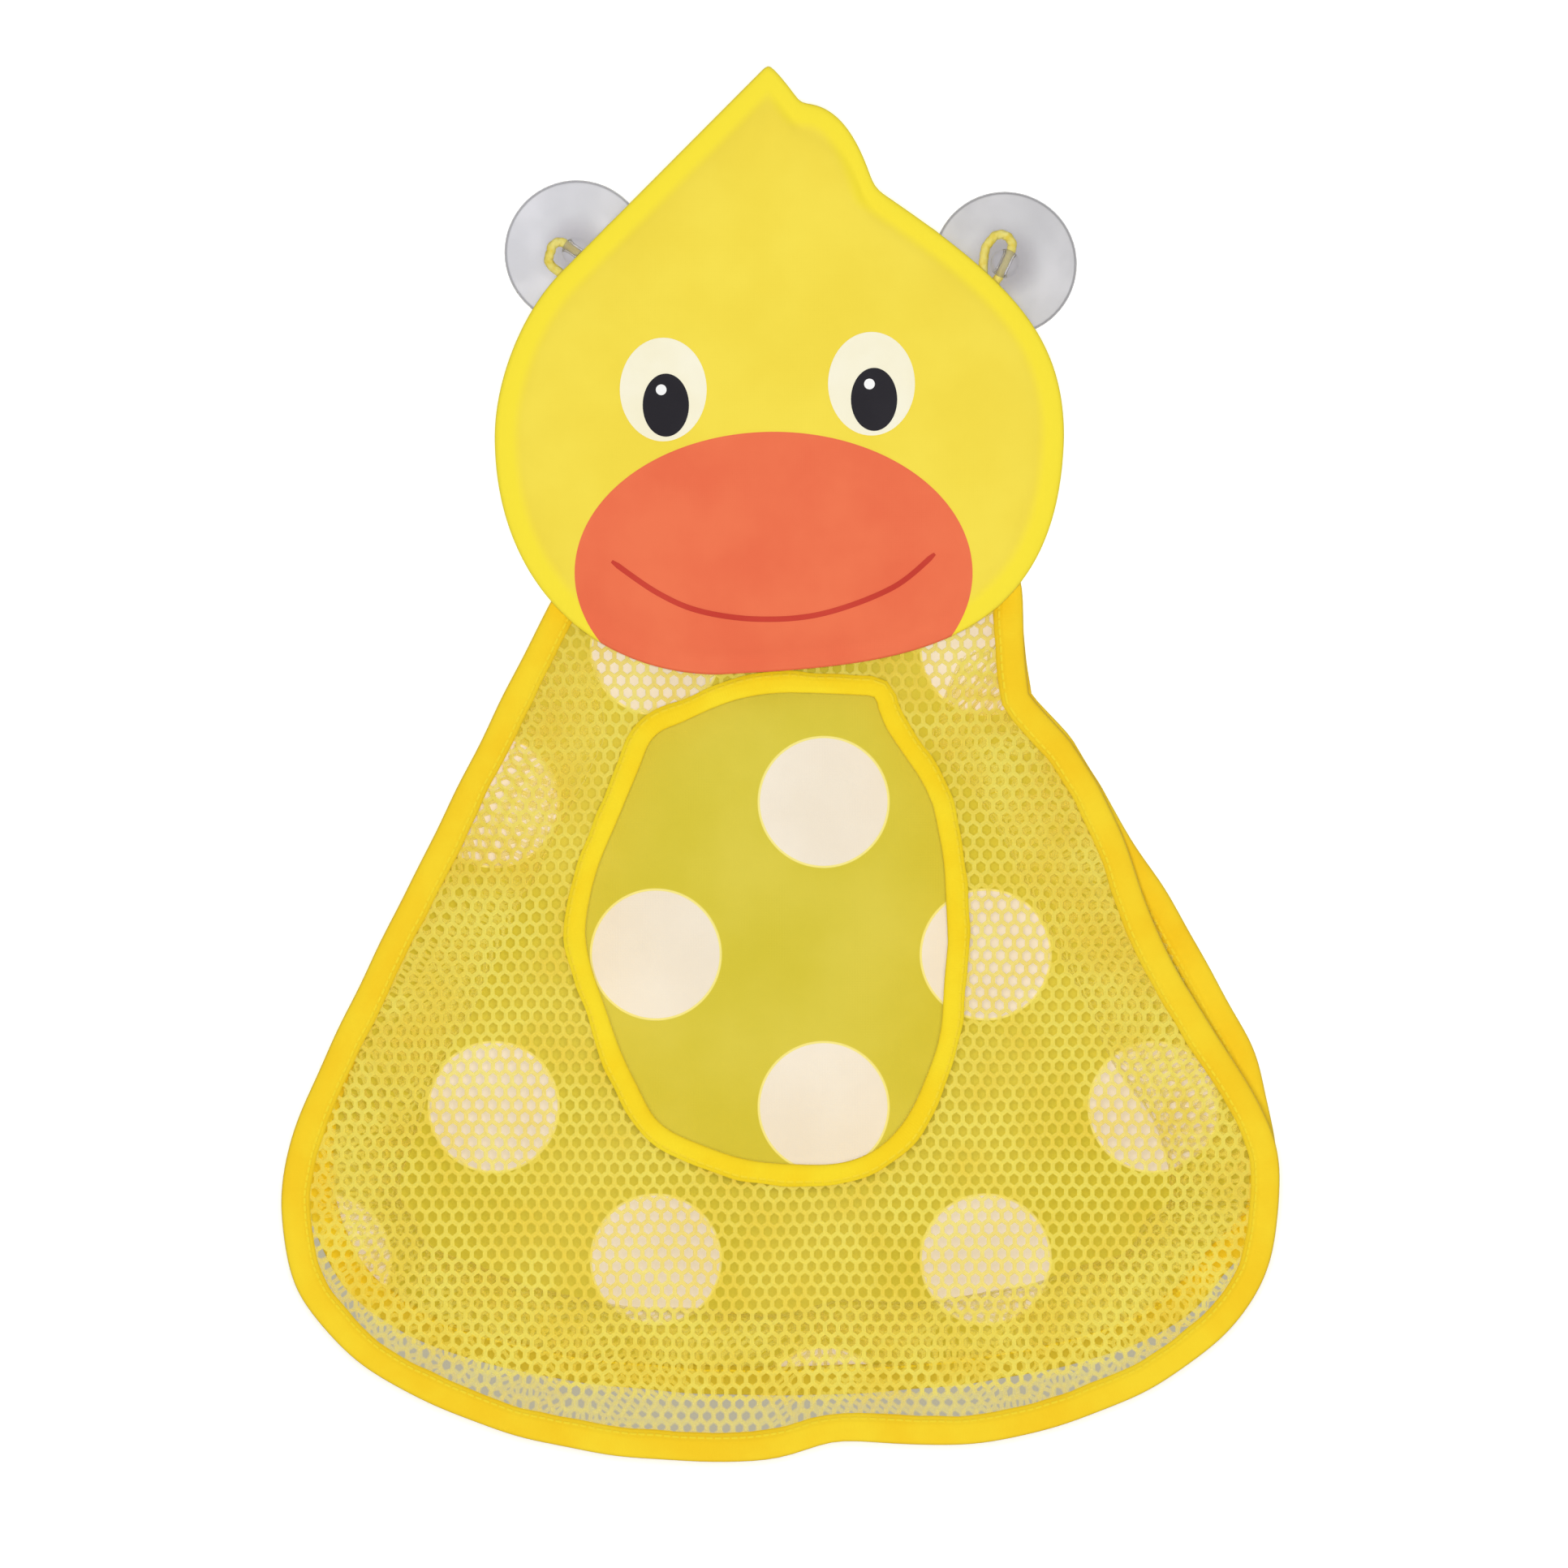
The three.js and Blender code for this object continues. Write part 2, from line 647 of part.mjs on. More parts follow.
const fullGap = THREE.ShapeUtils.area(hexGaps(new THREE.Vector2(), 1, 1)[0]);
const smallestGap = SMALLEST_GAP_SHARE * fullGap;
const isLargeEnough = (gap) => gap.length > 2 && THREE.ShapeUtils.area(gap) > smallestGap;

// How far out a point lies from the middle of the opening, where 1 is the edge of the meshes there
function openingReach(p) {
  const hem = OPENING_TAPE_WIDTH + MESH_STRAND / 2;
  return Math.hypot(
    (p.x - OPENING_X) / (OPENING_HALF_WIDTH + hem),
    (p.y - OPENING_Z) / (OPENING_HALF_HEIGHT + hem),
  );
}

// Moves the corners of a gap that reach into the opening's tape out to the edge of the meshes.
function clearOfOpening(gap) {
  const middle = new THREE.Vector2(OPENING_X, OPENING_Z);
  return gap.map((p) => {
    const stretch = Math.max(1, 1 / openingReach(p));
    return p.clone().sub(middle).multiplyScalar(stretch).add(middle);
  });
}

// A flat sheet, drawn in X and Y and as thick as the net, with openings cut through it
function flatNet(edge, openings) {
  const sheet = new THREE.ExtrudeGeometry(
    new THREE.Shape(edge),
    { depth: NET_THICKNESS, bevelEnabled: false },
  );
  const cutters = new THREE.ExtrudeGeometry(
    openings.map((ring) => new THREE.Shape(ring)),
    { depth: 3 * NET_THICKNESS, bevelEnabled: false },
  );
  sheet.translate(0, 0, -NET_THICKNESS / 2);
  cutters.translate(0, 0, -1.5 * NET_THICKNESS);
  return fromManifold(toManifold(sheet).subtract(toManifold(cutters)));
}

function frontNet() {
  const meshEdge = offsetRing(outline, -BINDING_WIDTH - MESH_STRAND / 2);
  const middle = new THREE.Vector2(0, (BAG_TOP_Z + BAG_BOTTOM_Z) / 2);
  const rows = Math.ceil((BAG_TOP_Z - BAG_BOTTOM_Z) / meshRow);
  const columns = Math.ceil((2 * BAG_HALF_WIDTH) / MESH_PITCH) + 1;
  const middleOf = (gap) => gap[0].clone().lerp(gap[3], 0.5);
  const gaps = hexGaps(middle, rows, columns)
    .filter((gap) => openingReach(middleOf(gap)) > 1)
    .map((gap) => clipInside(clearOfOpening(gap), meshEdge))
    .filter(isLargeEnough);
  const openingEdge = offsetRing(openingRing, panelInset);
  const geometry = flatNet(offsetRing(outline, -panelInset), [openingEdge, ...gaps]);
  const position = geometry.getAttribute('position');
  for (let i = 0; i < position.count; i += 1) {
    const x = position.getX(i);
    const z = position.getY(i);
    position.setXYZ(i, x, netY(x, z) - position.getZ(i), z);
  }
  return closed(geometry);
}

// Gussets: nets between the two bindings, folded inward along a stretch of the outline. Across, each
// is a line of four points: back edge, back of the fold, front of the fold, front edge.

const frontEdge = offsetRing(outline, -GUSSET_INSET);
const backEdge = offsetRing(backOutline, -GUSSET_INSET);
const inward = cornerNormals(outline).map((n) => n.normalize().negate());

function gussetStation(i, along) {
  const j = along < 0 ? i - 1 : i + 1;
  const shift = Math.abs(along) / frontEdge[i].distanceTo(frontEdge[j]);
  const front = frontEdge[i].clone().lerp(frontEdge[j], shift);
  const back = backEdge[i].clone().lerp(backEdge[j], shift);
  const seat = tapeHalf + SEAT_GAP + NET_THICKNESS / 2;
  const backLevel = BACK_PANEL_Y - seat;
  const depth = backLevel - netY(front.x, front.y) - seat;
  const fold = Math.min(GUSSET_FOLD, GUSSET_FOLD_RATE * depth);
  const noseBack = ((1 - GUSSET_NOSE_SHARE) / 2) * depth;
  const noseFront = depth - noseBack;
  const line = [[0, 0], [fold, noseBack], [fold, noseFront], [0, depth]].map(
    ([inset, forward]) => new THREE.Vector2(inset, forward),
  );
  const at = (p) => {
    const base = back.clone().lerp(front, p.y / depth).addScaledVector(inward[i], p.x);
    return new THREE.Vector3(base.x, backLevel - p.y, base.y);
  };
  const normals = lineNormals(line);
  const side = (offset) => line.map((p, k) => at(p.clone().addScaledVector(normals[k], offset)));
  const section = [...side(NET_THICKNESS / 2), ...side(-NET_THICKNESS / 2).reverse()];
  return { depth, front, points: line.map(at), section };
}

// Joins sections of a thick line, one side first and the other side back, to a strip with flat ends.
// Both sides are split along the same diagonals, so that the strip is equally thick throughout.
function strip(sections) {
  const count = sections[0].length;
  const index = [];
  for (let r = 0; r + 1 < sections.length; r += 1) {
    const here = r * count;
    const next = here + count;
    for (let i = 0; i < count; i += 1) {
      const j = (i + 1) % count;
      const otherSide = i >= count / 2 && i < count - 1;
      const [a, b, c, d] = [here + i, next + i, next + j, here + j];
      index.push(...(otherSide ? [a, b, d, b, c, d] : [a, b, c, a, c, d]));
    }
  }
  const end = (sections.length - 1) * count;
  for (let j = 0; j + 1 < count / 2; j += 1) {
    const [a, b, c, d] = [j, j + 1, count - 2 - j, count - 1 - j];
    index.push(a, b, c, a, c, d);
    index.push(end + c, end + b, end + a, end + d, end + c, end + a);
  }
  const geometry = new THREE.BufferGeometry();
  geometry.setFromPoints(sections.flat());
  geometry.setIndex(index);
  return closed(geometry);
}

// Cutter for one gap: a hexagon on the layer between two of a gusset's lines, about a place along it
function gussetGap(stations, runs, middleRun, from, to) {
  const at = (run, across) => {
    const next = runs.findIndex((r) => r >= run);
    const [a, b] = [stations[next - 1].points, stations[next].points];
    const part = (run - runs[next - 1]) / (runs[next] - runs[next - 1]);
    const start = a[from].clone().lerp(b[from], part);
    return start.lerp(a[to].clone().lerp(b[to], part), across);
  };
  const width = at(middleRun, 0).distanceTo(at(middleRun, 1));
  const reach = 0.5 - (1.5 * MESH_STRAND) / width;
  const radius = (GUSSET_MESH_PITCH - MESH_STRAND) / Math.sqrt(3);
  const alongRun = at(middleRun + 1, 0.5).sub(at(middleRun - 1, 0.5));
  const normal = at(middleRun, 1).sub(at(middleRun, 0)).cross(alongRun).normalize();
  const ring = (lift) => {
    const corners = [];
    for (let k = 0; k < 6; k += 1) {
      const angle = Math.PI / 6 + (k * Math.PI) / 3;
      const corner = at(middleRun + radius * Math.cos(angle), 0.5 + reach * Math.sin(angle));
      corners.push(corner.addScaledVector(normal, lift));
    }
    return corners;
  };
  return toManifold(loft([ring(2 * NET_THICKNESS), ring(-2 * NET_THICKNESS)]));
}

function gusset(first, last) {
  const stations = [];
  const runs = [];
  const drawnIn = { [first]: SEAT_GAP, [last]: -SEAT_GAP };
  for (let i = first; i <= last; i += 1) {
    const station = gussetStation(i, drawnIn[i] ?? 0);
    const before = stations[stations.length - 1];
    runs.push(before ? runs[runs.length - 1] + before.front.distanceTo(station.front) : 0);
    stations.push(station);
  }
  const length = runs[runs.length - 1];
  const count = Math.floor((length - MESH_STRAND) / GUSSET_MESH_PITCH);
  let net = toManifold(strip(stations.map((station) => station.section)));
  for (let k = 0; k < count; k += 1) {
    const run = length / 2 + (k - (count - 1) / 2) * GUSSET_MESH_PITCH;
    const near = stations.filter((_, i) => Math.abs(runs[i] - run) < GUSSET_MESH_PITCH);
    if (near.every((station) => station.depth > GUSSET_GAP_DEPTH)) {
      net = net.subtract(gussetGap(stations, runs, run, 0, 1));
      net = net.subtract(gussetGap(stations, runs, run, 3, 2));
    }
  }
  return fromManifold(net);
}

// Neck seam: the folded stack between the pocket's bound top edge and the back of the head
function neckSeam() {
  const topZ = BAG_TOP_Z - NECK_SEAM_DROP;
  const bottomZ = topZ - NECK_SEAM_HEIGHT;
  const headSide = headBackY + SEAT_GAP;
  const bagSide = (z) => netY(0, z) - tapeHalf - SEAT_GAP;
  const profile = new THREE.Shape([
    new THREE.Vector2(headSide, topZ),
    new THREE.Vector2(headSide, bottomZ),
    new THREE.Vector2(bagSide(bottomZ), bottomZ),
    new THREE.Vector2(bagSide(topZ), topZ),
  ]);
  const geometry = new THREE.ExtrudeGeometry(
    profile,
    { depth: NECK_SEAM_WIDTH, bevelEnabled: false },
  );
  const across = new THREE.Vector3(1, 0, 0);
  const back = new THREE.Vector3(0, 1, 0);
  const up = new THREE.Vector3(0, 0, 1);
  geometry.applyMatrix4(new THREE.Matrix4().makeBasis(back, up, across));
  geometry.translate(-NECK_SEAM_WIDTH / 2, 0, 0);
  return closed(geometry);
}

// Assembly

function piece(name, geometry, material) {
  const mesh = new THREE.Mesh(geometry, material);
  mesh.name = name;
  return mesh;
}

function head() {
  const group = new THREE.Group();
  const leftPupilX = LEFT_EYE_X + PUPIL_SHIFT;
  const rightPupilX = RIGHT_EYE_X + PUPIL_SHIFT;
  const eye = (x, z) => headPrint(x, z, EYE_HALF_WIDTH, EYE_HALF_HEIGHT, 0);
  const pupil = (x, z) => headPrint(x, z - PUPIL_DROP, PUPIL_HALF_WIDTH, PUPIL_HALF_HEIGHT, 1);
  group.add(
    piece('head_front_panel', headFrontPanel(), yellowCloth),
    piece('head_foam_core', headFoamCore(), whiteFoam),
    piece('head_back_panel', headBackPanel(), yellowCloth),
    piece('beak_print', headPrint(BEAK_X, BEAK_Z, BEAK_HALF_WIDTH, BEAK_HALF_HEIGHT, 0), beakPrint),
    piece('left_eye_print', eye(LEFT_EYE_X, LEFT_EYE_Z), eyePrint),
    piece('right_eye_print', eye(RIGHT_EYE_X, RIGHT_EYE_Z), eyePrint),
    piece('left_pupil_print', pupil(leftPupilX, LEFT_EYE_Z), pupilPrint),
    piece('right_pupil_print', pupil(rightPupilX, RIGHT_EYE_Z), pupilPrint),
  );
  return group;
}

// One suction cup with its cord loop and sewn tab, drawn about the cup's centre on the wall
function hanger(name, side, x, z, holeTurn, loop) {
  const group = new THREE.Group();
  const tab = piece(
    `${name}_loop_tab`,
    closed(new THREE.BoxGeometry(TAB_WIDTH, TAB_THICKNESS, TAB_HEIGHT)),
    yellowTape,
  );
  tab.position.copy(tabCentre(side));
  group.add(piece(`${name}_suction_cup`, suctionCup(holeTurn), clearPvc));
  group.add(piece(`${name}_cord_loop`, loop, yellowCord));
  group.add(tab);
  group.position.set(x, 0, z);
  return group;
}

function pocket() {
  const group = new THREE.Group();
  const sideTop = TOP_STEPS + CORNER_STEPS + 1;
  const corner = TOP_STEPS + CORNER_STEPS + SIDE_STEPS + HIP_STEPS;
  const mirrored = (i) => outline.length - i;
  group.add(
    piece('back_panel', backPanel(), yellowNylon),
    piece('back_binding', foldedTape(backOutline, 1, BINDING_WIDTH, backY), yellowTape),
    piece('front_net', frontNet(), yellowNet),
    piece('front_binding', foldedTape(outline, 1, BINDING_WIDTH, netY), yellowTape),
    piece('opening_binding', foldedTape(openingRing, -1, OPENING_TAPE_WIDTH, netY), yellowTape),
    piece('left_gusset', gusset(sideTop, corner), yellowNet),
    piece('right_gusset', gusset(mirrored(corner), mirrored(sideTop)), yellowNet),
    piece('bottom_gusset', gusset(corner, mirrored(corner)), yellowNet),
    piece('neck_seam', neckSeam(), yellowTape),
  );
  return group;
}

const organizer = new THREE.Group();
organizer.add(head());
const leftLoop = cordLoop(-1, LEFT_HOLE_TURN, LEFT_CORD_BEND, 90 - LEFT_HOLE_TURN);
const rightLoop = cordLoop(1, RIGHT_HOLE_TURN, RIGHT_CORD_BEND, RIGHT_CORD_ARCH);
organizer.add(hanger('left', -1, LEFT_CUP_X, LEFT_CUP_Z, LEFT_HOLE_TURN, leftLoop));
organizer.add(hanger('right', 1, RIGHT_CUP_X, RIGHT_CUP_Z, RIGHT_HOLE_TURN, rightLoop));
organizer.add(pocket());

export default organizer;
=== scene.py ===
# Bath toy organizer in the shape of a duckling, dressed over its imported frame: a printed padded head,
# a gusseted net pocket with folded tapes, twisted cord loops and clear suction cups.
# Sizes are written in millimetres in the part's own frame, and the meshes are made in metres.

import math

import bpy
import numpy as np
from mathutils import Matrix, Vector


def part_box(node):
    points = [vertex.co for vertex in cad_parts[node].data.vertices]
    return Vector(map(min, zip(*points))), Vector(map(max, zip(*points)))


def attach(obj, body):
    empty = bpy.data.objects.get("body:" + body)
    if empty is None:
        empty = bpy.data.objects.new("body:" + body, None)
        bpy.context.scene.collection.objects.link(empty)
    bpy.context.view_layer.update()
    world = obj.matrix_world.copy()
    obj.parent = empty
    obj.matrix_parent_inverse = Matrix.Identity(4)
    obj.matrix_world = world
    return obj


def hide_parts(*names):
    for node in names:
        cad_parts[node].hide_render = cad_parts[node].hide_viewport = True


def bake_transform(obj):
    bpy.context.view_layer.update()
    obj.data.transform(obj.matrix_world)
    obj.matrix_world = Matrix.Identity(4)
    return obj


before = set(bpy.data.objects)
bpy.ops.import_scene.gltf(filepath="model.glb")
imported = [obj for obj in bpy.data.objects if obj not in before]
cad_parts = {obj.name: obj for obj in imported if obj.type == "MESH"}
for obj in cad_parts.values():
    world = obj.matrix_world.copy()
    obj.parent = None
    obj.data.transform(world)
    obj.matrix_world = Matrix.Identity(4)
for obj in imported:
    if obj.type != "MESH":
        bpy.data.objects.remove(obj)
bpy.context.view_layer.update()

MM = 0.001

# Picture: the part of the bag's plane that the square picture takes in
PICTURE_WIDTH = 541
PICTURE_X = 1.7
PICTURE_Z = -181.8
PICTURE_Y = -42
CAMERA_DISTANCE = 20000

# Head
HEAD_MIDDLE = (0, -62)
HEAD_HALF_WIDTH = 98
HEAD_BACK_Y = -22.5
HEAD_SEAM_Y = -23.1
HEAD_BAND = 7.5
HEAD_RINGS = 24
BEAK_MIDDLE = (-1.9, -108.9)
BEAK_HALF = (68.7, 48.7)
LEFT_EYE = (-40, -45.6)
RIGHT_EYE = (31.9, -43.6)
EYE_HALF = (15, 17.9)
PUPIL_HALF = (8, 10.9)
PUPIL_SHIFT = (0.9, -5.4)
GLINT_SHIFT = (-1.6, 5.3)
GLINT_RADIUS = 1.85
SMILE_WIDTH = 1.9

# Prints: where they lie flat before they are pressed on to the head, and how high each ink stands
PRINT_START_Y = -45
FIRST_INK = 0.14
SECOND_INK = 0.24
SMILE_INK = 0.26
THIRD_INK = 0.34

# Pocket
BAG_TOP_Z = -107.5
BAG_TOP_HALF_WIDTH = 73.3
BAG_TOP_ROUNDING = 14
BAG_HALF_WIDTH = 172
BAG_WIDEST_Z = -326
BAG_HIP = (157, -275)
BACK_Y = -12
PANEL_THICKNESS = 0.5
PANEL_MIDDLE = (0, -270)
NET_GAP_AT_TOP = 2.5
NET_SLOPE = 46 / 307.5
NET_FULLNESS = 5
FRONT_BOTTOM_Z = -415
BACK_BOTTOM_Z = -393
BINDING_WIDTH = 10
BINDING_HALF_THICKNESS = 1.1
OPENING_TAPE_WIDTH = 7.4
GUSSET_FOLD = 38
GUSSET_SEAM = 8.6
GUSSET_LEAN = 0.08

# Dots of the back panel: two lattices, with half the distance between a lattice's dots
DOT_HALF_STEP = (57, 52.7)
DOT_OF_FIRST_LATTICE = (-42.6, -135.3)
DOT_OF_SECOND_LATTICE = (15.4, -188)
DOT_RADIUS = 22.2

# Net: meshes, how the yarn narrows their holes, how it swells, and how much it covers
MESH_PITCH = 4.5
MESH_ROW = 4.3
HOLE_SHARES = [0.72, 0.69, 0.67, 0.67, 0.67, 0.69]
STRAND_LIFT = 0.36
KNOT_SWELL = 1.15
SPAN_SWELL = 0.95
NET_UNDER_TAPE = 3.4
NET_UNDER_ELASTIC = 3.2
YARN_COVER = 0.46
YARN_COVER_IN_SHADOWS = 0.28
YARN_THINNED = 0.65
CLEAR_FADE = 4

# Shade on the inner face of the back tape, from this height down
TAPE_SHADE_Z = -350
TAPE_SHADE_FADE = 25

# Hangers: place of each cup, turn of the hole in its knob, bend of the cord beside the knob
CUP_RADIUS = 25
KNOB_RADIUS = 5
KNOB_HOLE_Y = -15.25
KNOB_HOLE_RADIUS = 1.9
DRILL_LENGTH = 20
LEFT_CUP = (-70, 2)
RIGHT_CUP = (78, -2)
LEFT_HOLE_TURN = math.radians(-35)
RIGHT_HOLE_TURN = math.radians(65)
LEFT_CORD_BEND = 3
RIGHT_CORD_BEND = 3.9
LEFT_CORD_ARCH = math.radians(125)
RIGHT_CORD_ARCH = math.radians(180)
CORD_DIAMETER = 3
CORD_STRANDS = 3
CORD_LAY = 7.5
CORD_END_SPACING = 6
TAB_SHIFT = 5
TAB_TOP = -16
TAB_THICKNESS = 3.6

# Stage
WALL_Y = 0.8
WALL_SHADE_Y = 0.4
FLOOR_Z = -750
ROOM_LIGHT = 0.38

# Helpers for working on one piece at a time


def pick(piece):
    bpy.ops.object.select_all(action="DESELECT")
    piece.select_set(True)
    bpy.context.view_layer.objects.active = piece


def apply_modifiers(piece):
    pick(piece)
    for modifier in list(piece.modifiers):
        bpy.ops.object.modifier_apply(modifier=modifier.name)


def sew_together(name, points, faces, edges=()):
    """A smooth-shaded mesh piece from points in millimetres."""
    mesh = bpy.data.meshes.new(name)
    mesh.from_pydata((np.asarray(points, float) * MM).tolist(), edges, faces)
    piece = bpy.data.objects.new(name, mesh)
    bpy.context.scene.collection.objects.link(piece)
    pick(piece)
    bpy.ops.object.shade_smooth()
    return piece


def turn_outward(piece):
    pick(piece)
    bpy.ops.object.mode_set(mode="EDIT")
    bpy.ops.mesh.select_all(action="SELECT")
    bpy.ops.mesh.normals_make_consistent(inside=False)
    bpy.ops.object.mode_set(mode="OBJECT")


def positions(piece):
    flat = np.zeros(3 * len(piece.data.vertices))
    piece.data.vertices.foreach_get("co", flat)
    return flat.reshape(-1, 3) / MM


def move_points(piece, points):
    piece.data.vertices.foreach_set("co", (np.asarray(points) * MM).ravel())
    piece.data.update()


def mark_points(piece, name, values):
    """Keeps a number for each point, for the piece's material."""
    attribute = piece.data.attributes.new(name, "FLOAT", "POINT")
    attribute.data.foreach_set("value", np.asarray(values, np.float32))


def finish_piece(piece, material, slot, body, *nodes):
    """Gives a piece its material, and lets it ride on a body in place of CAD nodes. The slot is not
    used.
    """
    if material is not None:
        piece.data.materials.clear()
        piece.data.materials.append(material)
    if body is not None:
        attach(piece, body)
    if nodes:
        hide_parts(*nodes)
    return piece


def smoothstep(x):
    t = np.clip(x, 0, 1)
    return t * t * (3 - 2 * t)


def hump(x, middle, before, after):
    """A soft bump of height 1 with its own spread on each side."""
    spread = np.where(x < middle, before, after)
    return np.exp(-(((x - middle) / spread) ** 2))


def ripple(u, v, wavelength, phase):
    """Irregular gentle waves between -1 and 1, as in slack cloth."""
    k = 2 * math.pi / wavelength
    a = np.sin(k * (0.92 * u + 0.39 * v) + phase)
    b = np.sin(1.37 * k * (0.81 * v - 0.47 * u) + 2.1 * phase)
    c = np.sin(0.71 * k * (0.33 * u - 1.21 * v) + 0.7 * phase)
    return (a + b + c) / 3


def run_along(points):
    """How far along an open line each of its points lies."""
    return np.concatenate([[0], np.cumsum(np.linalg.norm(np.diff(points, axis=0), axis=1))])


def unit(vectors):
    return vectors / np.linalg.norm(vectors, axis=1)[:, None]


def at_depth(flat, y):
    """Points in X and Z, set at a depth."""
    return np.column_stack([flat[:, 0], y, flat[:, 1]])


def quads(rows, columns, closed_rows=False, closed_columns=True):
    """Faces of a grid of points that are numbered row by row."""
    faces = []
    for i in range(rows if closed_rows else rows - 1):
        n = (i + 1) % rows
        for k in range(columns if closed_columns else columns - 1):
            j = (k + 1) % columns
            faces.append((i * columns + k, i * columns + j, n * columns + j, n * columns + k))
    return faces


def on_bezier(corners, t):
    """Points of a Bezier curve with two to four corners, at the shares t of its way."""
    p = [np.asarray(c, float) for c in corners]
    if len(p) == 2:
        return p[0] + (p[1] - p[0]) * t
    if len(p) == 3:
        return (1 - t) ** 2 * p[0] + 2 * (1 - t) * t * p[1] + t * t * p[2]
    near = (1 - t) ** 3 * p[0] + 3 * (1 - t) ** 2 * t * p[1]
    return near + 3 * (1 - t) * t * t * p[2] + t**3 * p[3]


def bezier(corners, steps):
    """Points along a Bezier curve, without its end point."""
    return on_bezier(corners, np.arange(steps)[:, None] / steps)


def smooth_line(corners, steps, closed=False):
    """A curve through its corners, with the same number of steps between each two."""
    p = np.asarray(corners, float)
    q = np.vstack([p[-1:], p, p[:2]] if closed else [p[:1], p, p[-1:]])
    line = []
    for a, b, c, d in zip(q, q[1:], q[2:], q[3:]):
        line.append(bezier([b, b + (c - a) / 6, c - (d - b) / 6, c], steps))
    return np.vstack(line if closed else line + [p[-1:]])


def even_ring(ring, count):
    """The same closed line with points at equal distances."""
    closed = np.vstack([ring, ring[:1]])
    run = run_along(closed)
    at = np.arange(count) * run[-1] / count
    return np.column_stack([np.interp(at, run, closed[:, k]) for k in range(2)])


def ring_normals(ring):
    """Outward directions at the points of a counter-clockwise ring."""
    along = np.roll(ring, -1, axis=0) - np.roll(ring, 1, axis=0)
    return unit(np.column_stack([along[:, 1], -along[:, 0]]))


def inside_distance(ring, x, z):
    """Distance from points to a closed line, positive inside it."""
    p = np.column_stack([np.ravel(x), np.ravel(z)])
    best = np.full(len(p), 1e9)
    inside = np.zeros(len(p), bool)
    for a, b in zip(ring, np.roll(ring, -1, axis=0)):
        d = b - a
        t = np.clip(((p - a) @ d) / max(d @ d, 1e-9), 0, 1)
        best = np.minimum(best, np.hypot(*(p - a - t[:, None] * d).T))
        crosses = (a[1] > p[:, 1]) != (b[1] > p[:, 1])
        if d[1]:
            inside ^= crosses & (p[:, 0] < a[0] + d[0] * (p[:, 1] - a[1]) / d[1])
    return np.where(inside, best, -best).reshape(np.shape(x))


# Camera


def set_camera():
    data = bpy.data.cameras.new("picture_camera")
    data.sensor_width = 36
    data.lens = data.sensor_width * (CAMERA_DISTANCE + PICTURE_Y) / PICTURE_WIDTH
    data.clip_start = 0.1
    data.clip_end = 50
    camera = bpy.data.objects.new("picture_camera", data)
    camera.location = (PICTURE_X * MM, -CAMERA_DISTANCE * MM, PICTURE_Z * MM)
    camera.rotation_euler = (math.pi / 2, 0, 0)
    bpy.context.scene.collection.objects.link(camera)
    bpy.context.scene.camera = camera


set_camera()

# Node helpers


def shade(red, green, blue):
    """Linear colour of a shade written from 0 to 255 as it looks on a screen."""
    level = [c / 255 for c in (red, green, blue)]
    return tuple(c / 12.92 if c <= 0.04045 else ((c + 0.055) / 1.055) ** 2.4 for c in level) + (1,)


def join(tree, source, target):
    """Feeds a socket from another one, or gives it a plain value."""
    if isinstance(source, (int, float, tuple)):
        target.default_value = source
    else:
        tree.links.new(source, target)


def calc(tree, operation, *values):
    """A Math node with numbers or sockets as its inputs."""
    node = tree.nodes.new("ShaderNodeMath")
    node.operation = operation
    for socket, value in zip(node.inputs, values):
        join(tree, value, socket)
    return node.outputs[0]


def mix_colours(tree, share, low, high):
    node = tree.nodes.new("ShaderNodeMix")
    node.data_type = "RGBA"
    for number, value in ((0, share), (6, low), (7, high)):
        join(tree, value, node.inputs[number])
    return node.outputs[2]


def ease(tree, value, low, high):
    """0 below low, 1 above high and a smooth step between them."""
    node = tree.nodes.new("ShaderNodeMapRange")
    node.interpolation_type = "SMOOTHSTEP"
    for socket, given in zip(node.inputs, (value, low, high)):
        join(tree, given, socket)
    return node.outputs[0]


def noise(tree, vector, scale, detail=2.0):
    node = tree.nodes.new("ShaderNodeTexNoise")
    for label, value in (("Vector", vector), ("Scale", scale), ("Detail", detail)):
        join(tree, value, node.inputs[label])
    return node.outputs[0]


def less_from_one(tree, value):
    return calc(tree, "SUBTRACT", 1, value)


def sum_of_squares(tree, a, b):
    return calc(tree, "ADD", calc(tree, "MULTIPLY", a, a), calc(tree, "MULTIPLY", b, b))


def split_vector(tree, vector):
    """The X, Y and Z sockets of a vector."""
    node = tree.nodes.new("ShaderNodeSeparateXYZ")
    join(tree, vector, node.inputs[0])
    return node.outputs


def seen_directly(tree):
    """1 for what the camera, a mirror or clear plastic shows, 0 for light that falls on the object."""
    path = tree.nodes.new("ShaderNodeLightPath")
    seen = calc(tree, "MAXIMUM", path.outputs["Is Camera Ray"], path.outputs["Is Glossy Ray"])
    return calc(tree, "MAXIMUM", seen, path.outputs["Is Transmission Ray"])


def marked(tree, name):
    """The number that mark_points keeps, or 0 on a piece that has none."""
    node = tree.nodes.new("ShaderNodeAttribute")
    node.attribute_name = name
    return node.outputs["Fac"]


def new_group(name, inputs, outputs):
    tree = bpy.data.node_groups.new(name, "ShaderNodeTree")
    for label, kind, value in inputs:
        socket = tree.interface.new_socket(label, in_out="INPUT", socket_type=kind)
        if value is not None:
            socket.default_value = value
    for label, kind in outputs:
        tree.interface.new_socket(label, in_out="OUTPUT", socket_type=kind)
    return tree, tree.nodes.new("NodeGroupInput"), tree.nodes.new("NodeGroupOutput")


